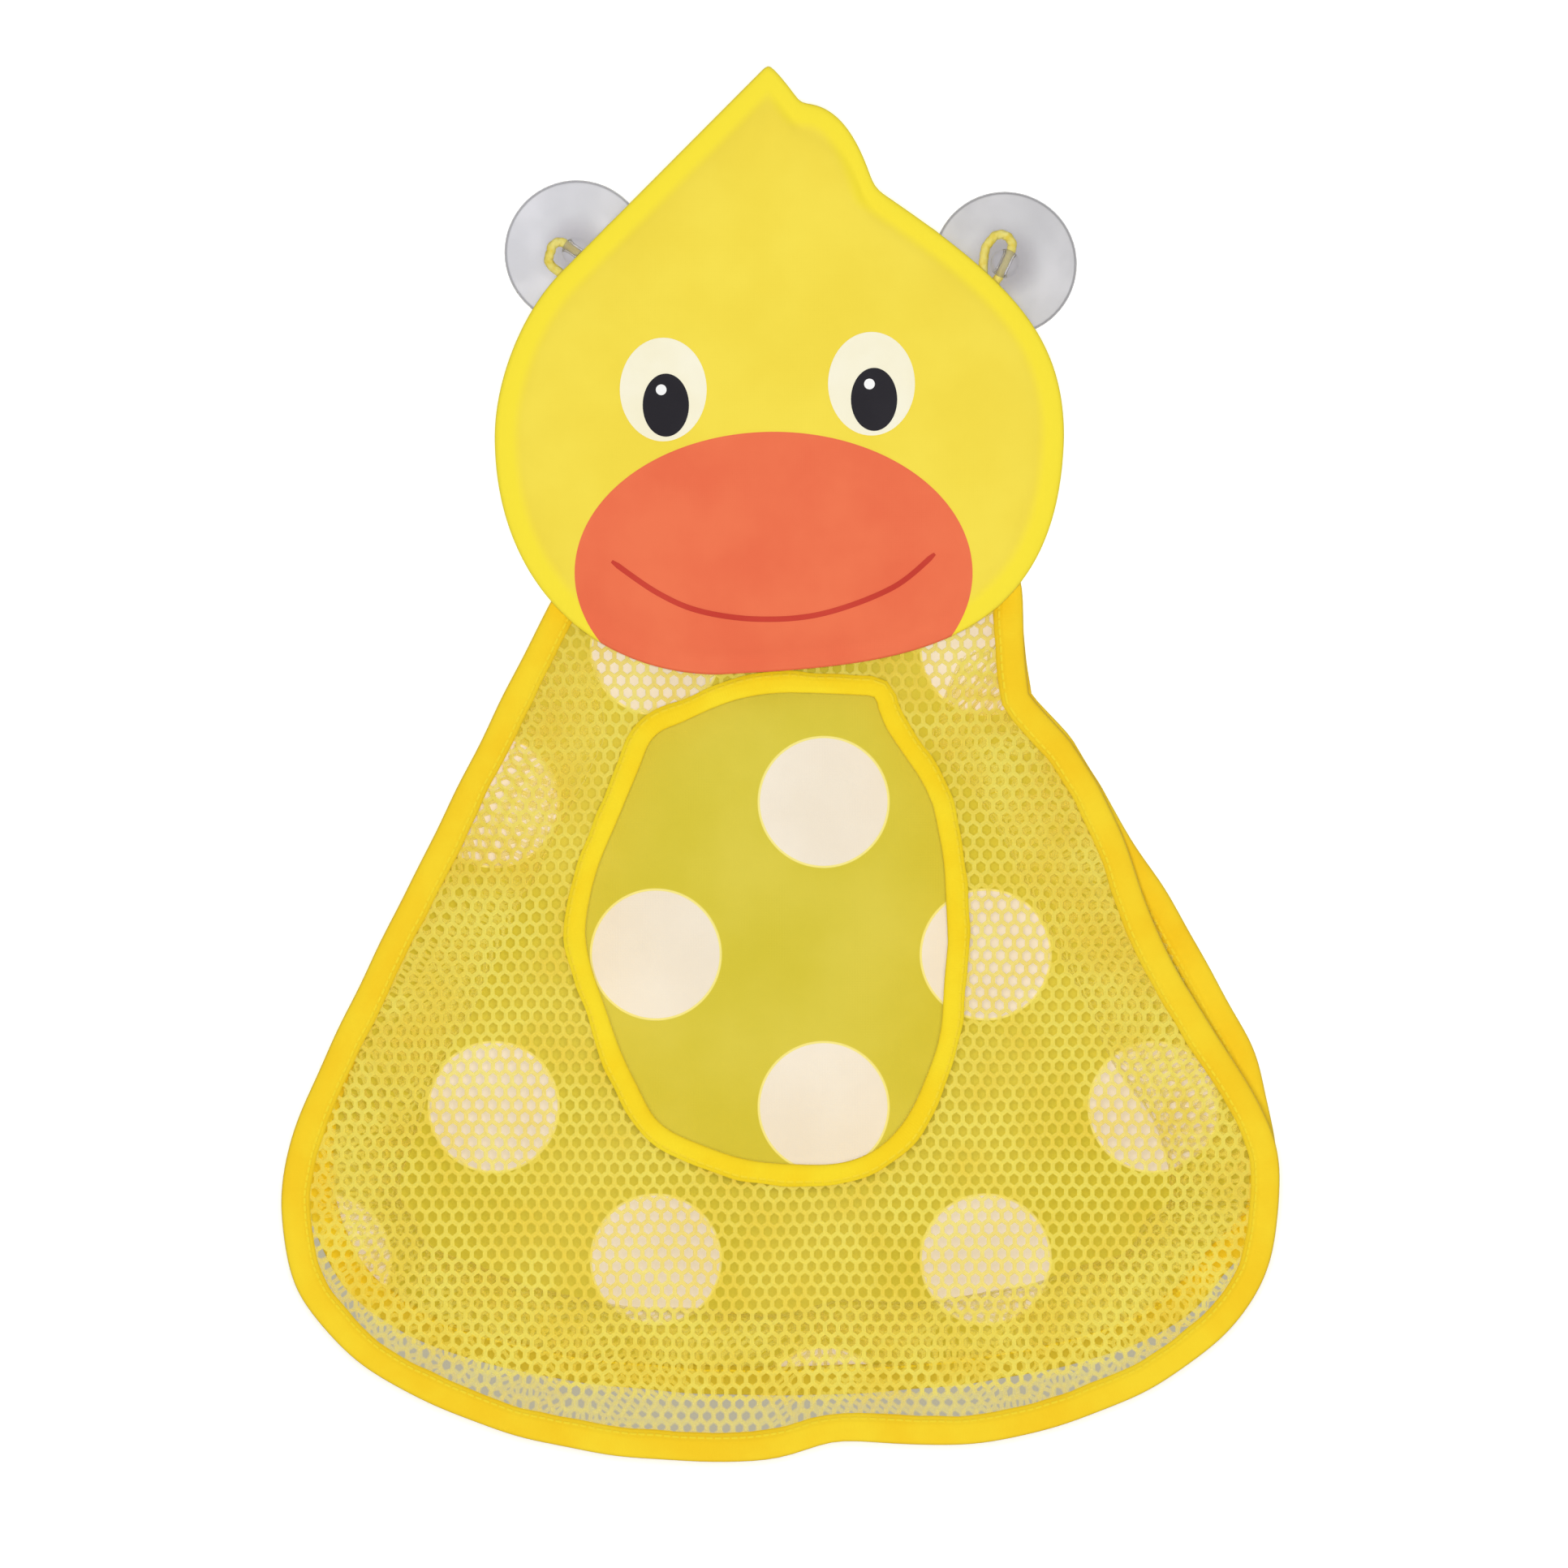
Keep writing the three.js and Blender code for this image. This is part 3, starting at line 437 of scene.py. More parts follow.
def place_group(tree, group, **values):
    node = tree.nodes.new("ShaderNodeGroup")
    node.node_tree = group
    for label, value in values.items():
        join(tree, value, node.inputs[label])
    return node


VECTOR = "NodeSocketVector"
FLOAT = "NodeSocketFloat"


def weave_group():
    """Over-and-under threads in X and Z of a vector in metres, and a soft unevenness of the dye."""
    tree, given, made = new_group(
        "plain weave",
        [("Vector", VECTOR, None), ("Thread", FLOAT, 0.0005), ("Patch", FLOAT, 0.03)],
        [("Height", FLOAT), ("Tone", FLOAT)],
    )
    x, _, z = split_vector(tree, given.outputs["Vector"])
    turn = calc(tree, "DIVIDE", math.pi, given.outputs["Thread"])
    u = calc(tree, "SINE", calc(tree, "MULTIPLY", x, turn))
    v = calc(tree, "SINE", calc(tree, "MULTIPLY", z, turn))
    over = ease(tree, calc(tree, "MULTIPLY", u, v), -0.3, 0.3)
    warp = calc(tree, "MULTIPLY", calc(tree, "ABSOLUTE", u), over)
    weft = calc(tree, "MULTIPLY", calc(tree, "ABSOLUTE", v), less_from_one(tree, over))
    join(tree, calc(tree, "ADD", warp, weft), made.inputs["Height"])
    scale = calc(tree, "DIVIDE", 1, given.outputs["Patch"])
    join(tree, noise(tree, given.outputs["Vector"], scale, 3), made.inputs["Tone"])
    return tree


def stitch_group():
    """A row of lockstitches along U at a distance in V, both in millimetres."""
    tree, given, made = new_group(
        "lockstitch row",
        [
            ("Along", FLOAT, 0.0),
            ("Across", FLOAT, 0.0),
            ("Row", FLOAT, 8.0),
            ("Pitch", FLOAT, 3.0),
            ("Thread", FLOAT, 0.45),
        ],
        [("Stitch", FLOAT), ("Height", FLOAT)],
    )
    step = calc(tree, "DIVIDE", given.outputs["Along"], given.outputs["Pitch"])
    place = calc(tree, "ABSOLUTE", calc(tree, "SUBTRACT", calc(tree, "FRACT", step), 0.5))
    length = less_from_one(tree, ease(tree, place, 0.34, 0.42))
    off = calc(tree, "SUBTRACT", given.outputs["Across"], given.outputs["Row"])
    reach = calc(tree, "DIVIDE", calc(tree, "ABSOLUTE", off), given.outputs["Thread"])
    thread = less_from_one(tree, ease(tree, reach, 0.7, 1.0))
    stitch = calc(tree, "MULTIPLY", length, thread)
    join(tree, stitch, made.inputs["Stitch"])
    groove = calc(tree, "SUBTRACT", ease(tree, reach, 1.0, 3.5), 1)
    join(tree, calc(tree, "ADD", groove, calc(tree, "MULTIPLY", stitch, 0.9)), made.inputs["Height"])
    return tree


def dot_group():
    """Staggered round dots in X and Z of a vector in metres, and the thin line round them."""
    tree, given, made = new_group(
        "staggered dots",
        [("Vector", VECTOR, None)],
        [("Dot", FLOAT), ("Line", FLOAT)],
    )
    x, _, z = split_vector(tree, given.outputs["Vector"])

    def from_lattice(dot):
        wide = calc(tree, "ABSOLUTE", calc(tree, "SUBTRACT", x, dot[0] * MM))
        tall = calc(tree, "ABSOLUTE", calc(tree, "SUBTRACT", z, dot[1] * MM))
        dx = calc(tree, "PINGPONG", wide, DOT_HALF_STEP[0] * MM)
        dz = calc(tree, "PINGPONG", tall, DOT_HALF_STEP[1] * MM)
        return calc(tree, "SQRT", sum_of_squares(tree, dx, dz))

    first, second = from_lattice(DOT_OF_FIRST_LATTICE), from_lattice(DOT_OF_SECOND_LATTICE)
    near = calc(tree, "MINIMUM", first, second)
    outside = ease(tree, near, (DOT_RADIUS - 0.3) * MM, DOT_RADIUS * MM)
    join(tree, less_from_one(tree, outside), made.inputs["Dot"])
    ring = calc(tree, "ABSOLUTE", calc(tree, "SUBTRACT", near, (DOT_RADIUS + 0.2) * MM))
    join(tree, less_from_one(tree, ease(tree, ring, 0.2 * MM, 0.6 * MM)), made.inputs["Line"])
    return tree


weave = weave_group()
lockstitch = stitch_group()
dots = dot_group()


class Finish:
    """A material with its shader, its coordinates and a bump that feeds the shader's normal."""

    def __init__(self, name, roughness, sheen=0.0, bump=0.2, depth=0.1, specular=0.2):
        self.material = bpy.data.materials.new(name)
        self.material.use_nodes = True
        self.tree = self.material.node_tree
        self.shader = self.tree.nodes["Principled BSDF"]
        self.shader.inputs["Roughness"].default_value = roughness
        self.shader.inputs["Sheen Weight"].default_value = sheen
        self.shader.inputs["Specular IOR Level"].default_value = specular
        self.place = self.tree.nodes.new("ShaderNodeTexCoord")
        self.bump = self.tree.nodes.new("ShaderNodeBump")
        self.bump.inputs["Strength"].default_value = bump
        self.bump.inputs["Distance"].default_value = depth * MM
        join(self.tree, self.bump.outputs[0], self.shader.inputs["Normal"])

    def object(self):
        return self.place.outputs["Object"]

    def colour(self, value):
        join(self.tree, value, self.shader.inputs["Base Color"])

    def height(self, value):
        join(self.tree, value, self.bump.inputs["Height"])

    def roughness(self, value):
        join(self.tree, value, self.shader.inputs["Roughness"])

    def along_and_across(self):
        """Millimetres along and across a strip, from its UV map."""
        u, v, _ = split_vector(self.tree, self.place.outputs["UV"])
        return calc(self.tree, "DIVIDE", u, MM), calc(self.tree, "DIVIDE", v, MM)

    def woven(self, thread, patch):
        """Gives the surface a weave, and returns the unevenness of its dye from 0 to 1."""
        threads = place_group(self.tree, weave, Vector=self.object(), Thread=thread * MM, Patch=patch)
        self.height(threads.outputs["Height"])
        return ease(self.tree, threads.outputs["Tone"], 0.3, 0.7)


def printed_cloth(name, base, deep):
    """Woven cloth with ink in it."""
    finish = Finish(name, 0.72, sheen=0.03, bump=0.25, depth=0.08)
    finish.colour(mix_colours(finish.tree, finish.woven(0.45, 0.028), deep, base))
    return finish.material


def head_cloth():
    """Yellow cloth, brighter along its sewn band, with the beak's ink as its ground under that print."""
    finish = Finish("head cloth", 0.74, sheen=0.03, bump=0.25, depth=0.08)
    tree = finish.tree
    face = mix_colours(tree, finish.woven(0.45, 0.035), shade(246, 221, 73), shade(250, 227, 80))
    inner = ease(tree, marked(tree, "edge_mm"), HEAD_BAND - 2, HEAD_BAND + 2.5)
    yellow = mix_colours(tree, inner, shade(251, 230, 60), face)
    x, y, z = split_vector(tree, finish.object())
    wide = calc(tree, "SUBTRACT", x, BEAK_MIDDLE[0] * MM)
    tall = calc(tree, "SUBTRACT", z, BEAK_MIDDLE[1] * MM)
    wide = calc(tree, "DIVIDE", wide, BEAK_HALF[0] * MM)
    tall = calc(tree, "DIVIDE", tall, BEAK_HALF[1] * MM)
    beak = calc(tree, "LESS_THAN", sum_of_squares(tree, wide, tall), 1)
    in_front = calc(tree, "LESS_THAN", y, (HEAD_SEAM_Y + 0.1) * MM)
    printed = calc(tree, "MULTIPLY", beak, in_front)
    finish.colour(mix_colours(tree, printed, yellow, shade(240, 114, 78)))
    return finish.material


def dotted_nylon(name, dot_share):
    """Olive yellow nylon with pale dots, which show through weakly on its wrong side."""
    finish = Finish(name, 0.62, sheen=0.03, bump=0.3, depth=0.1)
    tree = finish.tree
    patch = finish.woven(0.55, 0.05)
    pattern = place_group(tree, dots, Vector=finish.object())
    line_share = calc(tree, "MULTIPLY", pattern.outputs["Line"], dot_share)
    fill_share = calc(tree, "MULTIPLY", pattern.outputs["Dot"], dot_share)
    ground = mix_colours(tree, patch, shade(215, 199, 60), shade(223, 207, 75))
    lined = mix_colours(tree, line_share, ground, shade(252, 238, 140))
    dot = mix_colours(tree, patch, shade(243, 231, 211), shade(250, 240, 223))
    finish.colour(mix_colours(tree, fill_share, lined, dot))
    return finish.material


def net_yarn():
    """Fine shiny yarn that lets some of what is behind it through, and most of the light past. Where
    nothing lies behind it, it is painted paler as glare.
    """
    finish = Finish("net yarn", 0.5, sheen=0.05, bump=0.4, depth=0.12)
    tree = finish.tree
    path = tree.nodes.new("ShaderNodeLightPath")
    less = YARN_COVER_IN_SHADOWS - YARN_COVER
    cover = calc(tree, "MULTIPLY_ADD", path.outputs["Is Shadow Ray"], less, YARN_COVER)
    clear = marked(tree, "clear_of_back")
    fine = calc(tree, "MAXIMUM", clear, marked(tree, "inner_layer"))
    thin = calc(tree, "MULTIPLY_ADD", fine, YARN_THINNED - 1, 1)
    join(tree, calc(tree, "MULTIPLY", cover, thin), finish.shader.inputs["Alpha"])
    twist = noise(tree, finish.object(), 2200, 1)
    patch = noise(tree, finish.object(), 45, 3)
    dyed = mix_colours(tree, ease(tree, patch, 0.3, 0.7), shade(252, 227, 88), shade(255, 242, 114))
    # Painted glare: the yarn is paler where nothing lies behind it
    finish.colour(mix_colours(tree, calc(tree, "MULTIPLY", clear, 0.6), dyed, shade(242, 227, 145)))
    finish.height(twist)
    return finish.material


def binding_tape(name, base, deep, row, rib):
    """Woven tape with fine ribs across it and a row of stitches near its inner edge."""
    finish = Finish(name, 0.62, sheen=0.03, bump=0.45, depth=0.25)
    tree = finish.tree
    along, across = finish.along_and_across()
    ribs = calc(tree, "ABSOLUTE", calc(tree, "SINE", calc(tree, "MULTIPLY", along, math.pi / rib)))
    seam = place_group(tree, lockstitch, Along=along, Across=across, Row=row)
    patch = ease(tree, noise(tree, finish.object(), 38, 3), 0.32, 0.68)
    dyed = mix_colours(tree, patch, deep, base)
    # Painted shade: darker on the back tape's inner face low down, where in_shade is marked
    dyed = mix_colours(tree, marked(tree, "in_shade"), dyed, shade(219, 194, 54))
    finish.colour(mix_colours(tree, seam.outputs["Stitch"], dyed, shade(253, 222, 50)))
    finish.height(calc(tree, "ADD", calc(tree, "MULTIPLY", ribs, 0.18), seam.outputs["Height"]))
    return finish.material


def twisted_yarn():
    """Fine fibres that run slantwise round each strand."""
    finish = Finish("twisted cord", 0.7, sheen=0.05, bump=0.6, depth=0.2)
    tree = finish.tree
    along, across = finish.along_and_across()
    slant = calc(tree, "ADD", calc(tree, "MULTIPLY", along, 2.2), calc(tree, "MULTIPLY", across, 3.1))
    fibre = calc(tree, "ABSOLUTE", calc(tree, "SINE", calc(tree, "MULTIPLY", slant, math.pi)))
    patch = ease(tree, noise(tree, finish.object(), 320, 2), 0.3, 0.7)
    finish.colour(mix_colours(tree, patch, shade(244, 220, 84), shade(253, 240, 140)))
    finish.height(fibre)
    return finish.material


def clear_pvc():
    """Soft clear plastic, a little cloudy, with painted shade where it is seen edge on, at its rim and
    where it is thick.
    """
    finish = Finish("clear soft PVC", 0.12, bump=0.08, depth=0.3, specular=0.4)
    finish.shader.inputs["Transmission Weight"].default_value = 0.88
    finish.shader.inputs["IOR"].default_value = 1.4
    tree = finish.tree
    cloud = noise(tree, finish.object(), 60, 2)
    body = mix_colours(tree, ease(tree, cloud, 0.25, 0.8), shade(230, 230, 232), shade(250, 250, 252))
    # Painted shade: darker where the plastic is seen edge on and along its lip
    facing = tree.nodes.new("ShaderNodeLayerWeight")
    facing.inputs["Blend"].default_value = 0.25
    edge = ease(tree, facing.outputs["Facing"], 0.25, 0.9)
    radius = marked(tree, "radius_mm")
    rim = ease(tree, radius, CUP_RADIUS - 1.3, CUP_RADIUS - 0.7)
    painted_edge_shade = calc(tree, "MAXIMUM", edge, rim)
    # Painted shade: darker where the plastic is thick round the knob
    thick = less_from_one(tree, ease(tree, radius, KNOB_RADIUS, 3 * KNOB_RADIUS))
    dome_with_painted_shade = mix_colours(tree, thick, body, shade(206, 204, 207))
    finish.colour(mix_colours(tree, painted_edge_shade, dome_with_painted_shade, shade(180, 180, 182)))
    finish.roughness(calc(tree, "ADD", calc(tree, "MULTIPLY", cloud, 0.14), 0.1))
    finish.height(noise(tree, finish.object(), 120, 2))
    return finish.material


head_material = head_cloth()
beak_material = printed_cloth("beak print", shade(243, 121, 82), shade(238, 112, 76))
eye_material = printed_cloth("eye print", shade(253, 248, 224), shade(250, 243, 212))
pupil_material = printed_cloth("pupil print", shade(42, 40, 45), shade(36, 34, 39))
glint_material = printed_cloth("glint print", shade(254, 254, 252), shade(248, 248, 246))
smile_material = printed_cloth("smile print", shade(208, 70, 56), shade(200, 62, 50))
panel_material = dotted_nylon("dotted nylon", 1.0)
panel_back_material = dotted_nylon("dotted nylon, wrong side", 0.35)
net_material = net_yarn()
tape_material = binding_tape("folded tape", shade(251, 217, 44), shade(249, 206, 34), 8.2, 1.1)
elastic_material = binding_tape("fold-over elastic", shade(253, 225, 42), shade(251, 214, 30), 5.9, 0.9)
webbing_material = binding_tape("webbing", shade(248, 208, 42), shade(244, 198, 34), 1.6, 1.3)
cord_material = twisted_yarn()
pvc_material = clear_pvc()

# Cord loops: from the sewn tab up to the hole's raised end, through the knob and down to the tab


def cord_route(cup, side, turn, bend, arch):
    """The line that the loop follows. Side is -1 for the left cup and 1 for the right one."""
    tab_x = -side * TAB_SHIFT
    tab_y = HEAD_BACK_Y + TAB_THICKNESS / 2
    end_z = TAB_TOP + 0.3

    def at(along, across):
        c, s = math.cos(turn), math.sin(turn)
        return along * c - across * s, KNOB_HOLE_Y, along * s + across * c

    def bent(angle, onward):
        along = KNOB_RADIUS + bend * math.sin(angle) + onward * math.cos(angle)
        across = bend * (1 - math.cos(angle)) + onward * math.sin(angle)
        return at(side * along, side * across)

    def sewn(x):
        return [(x, tab_y, end_z), (x, tab_y, end_z + CORD_DIAMETER)]

    corners = sewn(tab_x - CORD_END_SPACING / 2)
    corners.append(bent(arch, KNOB_RADIUS))
    corners.extend(bent(arch * k / 4, 0) for k in (4, 3, 2, 1))
    corners.append(at(side * KNOB_RADIUS, 0))
    corners.append(at(-side * KNOB_RADIUS, 0))
    corners.append(at(-side * (KNOB_RADIUS + CORD_DIAMETER), 0))
    corners.extend(sewn(tab_x + CORD_END_SPACING / 2)[::-1])
    return smooth_line(corners, 10) + np.array([cup[0], 0, cup[1]])


def twisted_cord(name, route):
    """Strands laid round each other along a route, and the length of that route."""
    sides = 18
    run = run_along(route)
    along = unit(np.gradient(route, axis=0))
    side = unit(np.cross(along, (0, 1, 0)))
    up = np.cross(side, along)
    points = []
    for p, s, u, r in zip(route, side, up, run):
        for k in range(sides):
            angle = 2 * math.pi * k / sides
            lobe = abs(math.cos(CORD_STRANDS / 2 * (angle - 2 * math.pi * r / CORD_LAY)))
            radius = CORD_DIAMETER / 2 * (0.94 + 0.18 * lobe)
            points.append(p + radius * (math.cos(angle) * s + math.sin(angle) * u))
    faces = quads(len(route), sides)
    last = (len(route) - 1) * sides
    faces.append(tuple(range(sides))[::-1])
    faces.append(tuple(last + k for k in range(sides)))
    cord = sew_together(name, points, faces)
    turn_outward(cord)
    ring = [k / sides * CORD_DIAMETER * math.pi * MM for k in range(sides + 1)]
    uv = cord.data.uv_layers.new(name="strand")
    for face in cord.data.polygons:
        if len(face.vertices) != 4:
            continue
        wraps = {v % sides for v in face.vertices} == {0, sides - 1}
        for loop in face.loop_indices:
            v = cord.data.loops[loop].vertex_index
            k = sides if wraps and v % sides == 0 else v % sides
            uv.data[loop].uv = (run[v // sides] * MM, ring[k])
    return cord, run[-1]


def hang_cord(name, route, node):
    cord, length = twisted_cord(name, route)
    finish_piece(cord, cord_material, "cord", None, node)
    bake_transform(cord)


left_route = cord_route(LEFT_CUP, -1, LEFT_HOLE_TURN, LEFT_CORD_BEND, LEFT_CORD_ARCH)
right_route = cord_route(RIGHT_CUP, 1, RIGHT_HOLE_TURN, RIGHT_CORD_BEND, RIGHT_CORD_ARCH)
hang_cord("left_cord", left_route, "left_cord_loop")
hang_cord("right_cord", right_route, "right_cord_loop")

# Head


def head_outline(count):
    """The sewn edge of the head, counter-clockwise from the tip of the tuft."""
    tip, shoulder, left = (-3.8, 67), (-75.6, -5.1), (-98.4, -62)
    chin, right, nape, notch = (-22, -144.2), (98.6, -62), (33, 24.2), (7.5, 53.6)
    curves = [
        ([tip, shoulder], 31),
        ([shoulder, (-88.6, -18.1), (-98.4, -42), left], 19),
        ([left, (-98.4, -112.1), (-65, -143.5), chin], 39),
        ([chin, (40, -141), (96.5, -138), right], 49),
        ([right, (98.6, -26), (79.8, -7.3), nape], 36),
        ([nape, (29, 36.7), (22.5, 54), notch], 12),
        ([notch, (4.5, 57.6), (0.4, 63.6), tip], 6),
    ]
    return np.vstack([bezier(corners, steps * count // 192) for corners, steps in curves])


def ring_grid(outline, middle, shares):
    """Quads that fill an outline in square rings. Gives points in X and Z, each point's ring, faces."""
    rings = len(shares) - 1
    middle = np.asarray(middle, float)
    number = {}
    points = []
    ring_of = []
    for j in range(-rings, rings + 1):
        for i in range(-rings, rings + 1):
            r = max(abs(i), abs(j))
            if r == 0:
                place = middle
            else:
                if j == r and i <= 0:
                    q = -i
                elif i == -r:
                    q = 2 * r - j
                elif j == -r:
                    q = 4 * r + i
                elif i == r:
                    q = 6 * r + j
                else:
                    q = 8 * r - i
                f = q / (8 * r) * len(outline)
                a, b = outline[int(f) % len(outline)], outline[(int(f) + 1) % len(outline)]
                place = middle + shares[r] * (a + (b - a) * (f - int(f)) - middle)
            number[i, j] = len(points)
            points.append(place)
            ring_of.append(r)
    faces = []
    for j in range(-rings, rings):
        for i in range(-rings, rings):
            faces.append((number[i, j], number[i + 1, j], number[i + 1, j + 1], number[i, j + 1]))
    return np.array(points), np.array(ring_of), faces


HEAD_EDGE = head_outline(192)


def plump(piece, sewn, pressure, most):
    """Lets the cloth swell under pressure where it isn't sewn down, by no more than a set distance."""
    flat = positions(piece)
    group = piece.vertex_groups.new(name="sewn")
    group.add([int(i) for i in sewn], 1.0, "REPLACE")
    cloth = piece.modifiers.new("cloth", "CLOTH")
    cloth.settings.quality = 6
    cloth.settings.mass = 0.2
    cloth.settings.tension_stiffness = 20
    cloth.settings.compression_stiffness = 20
    cloth.settings.bending_stiffness = 1.5
    cloth.settings.use_pressure = True
    cloth.settings.uniform_pressure_force = pressure
    cloth.settings.vertex_group_mass = "sewn"
    cloth.settings.effector_weights.gravity = 0
    cloth.collision_settings.use_collision = False
    for step in range(1, 21):
        bpy.context.scene.frame_set(step)
    apply_modifiers(piece)
    bpy.context.scene.frame_set(1)
    piece.vertex_groups.clear()
    moved = positions(piece) - flat
    far = np.linalg.norm(moved, axis=1)[:, None]
    move_points(piece, flat + moved * np.tanh(far / most) * most / np.maximum(far, 1e-9))


def make_head():
    """Two cloths sewn together at the rim over foam that stops short of it."""
    section = [
        (0, 0), (0.5, 0.85), (1.4, 1.3), (3.4, 1.45), (5.4, 1.4),
        (7.4, 1.25), (9.2, 2.1), (11, 3.1), (14, 3.7), (HEAD_HALF_WIDTH, 4.3),
    ]
    edge = [step for step, _ in section[:-1]]
    inner = list(np.linspace(19.3, HEAD_HALF_WIDTH, HEAD_RINGS + 1 - len(edge)))
    from_edge = np.array((edge + inner)[::-1])
    shares = 1 - from_edge / HEAD_HALF_WIDTH
    points, ring, faces = ring_grid(HEAD_EDGE, HEAD_MIDDLE, shares)
    depth = from_edge[ring]
    front_y = HEAD_SEAM_Y - np.interp(depth, *np.transpose(section))
    back_y = HEAD_SEAM_Y + np.interp(depth, [0, 0.5, 1.4], [0, 0.4, 0.55])
    front = at_depth(points, front_y)
    rim = ring == HEAD_RINGS
    back_number = np.where(rim, np.arange(len(points)), len(points) + np.cumsum(~rim) - 1)
    back = at_depth(points, back_y)[~rim]
    back_faces = [tuple(int(back_number[v]) for v in face[::-1]) for face in faces]
    head = sew_together("head_cover", np.vstack([front, back]), faces + back_faces)
    turn_outward(head)
    free = np.concatenate([(depth > 9.5), np.zeros(len(back), bool)])
    plump(head, np.flatnonzero(~free), 4, 1.6)
    smooth = head.modifiers.new("smooth", "SUBSURF")
    smooth.levels = 1
    smooth.render_levels = 1
    apply_modifiers(head)
    final = positions(head)
    from_rim = inside_distance(HEAD_EDGE, final[:, 0], final[:, 2])
    mark_points(head, "edge_mm", np.maximum(from_rim, 0))
    nodes = ("head_front_panel", "head_foam_core", "head_back_panel")
    finish_piece(head, head_material, "head_cloth", "organizer", *nodes)
    return head


head_cover = make_head()


def lay_on_head(piece, film):
    """Presses a flat print on to the front of the head."""
    wrap = piece.modifiers.new("press", "SHRINKWRAP")
    wrap.wrap_method = "PROJECT"
    wrap.use_project_y = True
    wrap.use_negative_direction = False
    wrap.use_positive_direction = True
    wrap.target = head_cover
    wrap.offset = film * MM
    apply_modifiers(piece)


def print_field(name, middle, half, rings_and_sides, film, material, slot, *nodes):
    """An oval print, cut off where it meets the head's sewn edge."""
    rings, sides = rings_and_sides
    angle = np.arange(sides) * 2 * math.pi / sides
    reach = np.column_stack([half[0] * np.cos(angle), half[1] * np.sin(angle)])
    share = np.ones(sides)
    for cut in np.linspace(1, 0.5, 251):
        p = np.asarray(middle) + reach * share[:, None]
        outside = inside_distance(HEAD_EDGE, p[:, 0], p[:, 1]) < 0.7
        share[outside] = cut
    points = [(middle[0], PRINT_START_Y, middle[1])]
    for r in range(1, rings + 1):
        p = np.asarray(middle) + reach * (share * r / rings)[:, None]
        points.extend((x, PRINT_START_Y, z) for x, z in p)
    faces = [(0, 1 + k, 1 + (k + 1) % sides) for k in range(sides)]
    for r in range(rings - 1):
        for k in range(sides):
            j = (k + 1) % sides
            a, b = 1 + r * sides, 1 + (r + 1) * sides
            faces.append((a + k, b + k, b + j, a + j))
    field = sew_together(name, points, faces)
    lay_on_head(field, film)
    return finish_piece(field, material, slot, "organizer", *nodes)


def print_smile():
    """The line of the mouth: a stroke of even width that narrows at its ends."""
    through = [
        (-57.8, -104.9), (-42, -115.8), (-26.9, -122.2), (-6.4, -124.9), (15.4, -122.9),
        (39.2, -114), (53.8, -102.3),
    ]
    line = smooth_line(through, 10)
    along = unit(np.gradient(line, axis=0))
    across = np.column_stack([-along[:, 1], along[:, 0]])
    n = len(line)
    from_end = np.minimum(np.arange(n), np.arange(n)[::-1])
    taper = np.minimum(1, 0.55 + 0.45 * from_end / 2)
    points = []
    for share in (-1, 0, 1):
        for p, a, t in zip(line, across, taper):
            x, z = p + a * share * t * SMILE_WIDTH / 2
            points.append((x, PRINT_START_Y, z))
    smile = sew_together("smile_print", points, quads(3, n, closed_columns=False))
    lay_on_head(smile, SMILE_INK)
    finish_piece(smile, smile_material, "beak_print", "organizer")


beak = (BEAK_MIDDLE, BEAK_HALF, (26, 144), FIRST_INK, beak_material)
print_field("beak_field", *beak, "beak_print", "beak_print")
print_smile()
for side, eye in (("left", LEFT_EYE), ("right", RIGHT_EYE)):
    pupil = (eye[0] + PUPIL_SHIFT[0], eye[1] + PUPIL_SHIFT[1])
    glint = (pupil[0] + GLINT_SHIFT[0], pupil[1] + GLINT_SHIFT[1])
    white = (eye, EYE_HALF, (8, 64), FIRST_INK, eye_material)
    black = (pupil, PUPIL_HALF, (6, 56), SECOND_INK, pupil_material)
    spot = (glint, (GLINT_RADIUS, GLINT_RADIUS), (3, 32), THIRD_INK, glint_material)
    print_field(f"{side}_eye_field", *white, "eye_print", f"{side}_eye_print")
    print_field(f"{side}_pupil_field", *black, "pupil_print", f"{side}_pupil_print")
    print_field(f"{side}_glint", *spot, "eye_print")

# Pocket outlines


def pocket_outline(bottom_z):
    """The bound edge, counter-clockwise from the middle of the top."""
    top = (BAG_TOP_HALF_WIDTH, BAG_TOP_Z)
    widest = (BAG_HALF_WIDTH, BAG_WIDEST_Z)
    bottom = (0, bottom_z)
    run = np.subtract(BAG_HIP, top) / math.dist(BAG_HIP, top)
    corner_start = (BAG_TOP_HALF_WIDTH - BAG_TOP_ROUNDING, BAG_TOP_Z)
    corner_end = top + run * BAG_TOP_ROUNDING
    hip_lead = BAG_HIP + run * 22
    widest_lead = (BAG_HALF_WIDTH, BAG_WIDEST_Z + 18)
    widest_tail = (BAG_HALF_WIDTH, BAG_WIDEST_Z - 0.56 * (BAG_WIDEST_Z - bottom_z))
    bottom_lead = (0.65 * BAG_HALF_WIDTH, bottom_z)
    right = np.vstack(
        [
            bezier([(0, BAG_TOP_Z), corner_start], 12),
            bezier([corner_start, top, corner_end], 8),
            bezier([corner_end, BAG_HIP], 56),
            bezier([BAG_HIP, hip_lead, widest_lead, widest], 18),
            bezier([widest, widest_tail, bottom_lead, bottom], 72),
            [bottom],
        ]
    )
    return np.vstack([right * (-1, 1), right[1:-1][::-1]])


# Numbers of outline points, from the middle of the top: where a gusset starts, and its lower corner
SIDE_TOP = 24
CORNER = 94


def slack_right(ring, push):
    """Moves the right side of an outline sideways by height, and tucks its corner under the head."""
    x, z = ring.T
    side = smoothstep((x - 40) / 30)
    tucked = 5 * side * smoothstep((z + 125) / 15)
    return np.column_stack([x + side * push(z), z + tucked])


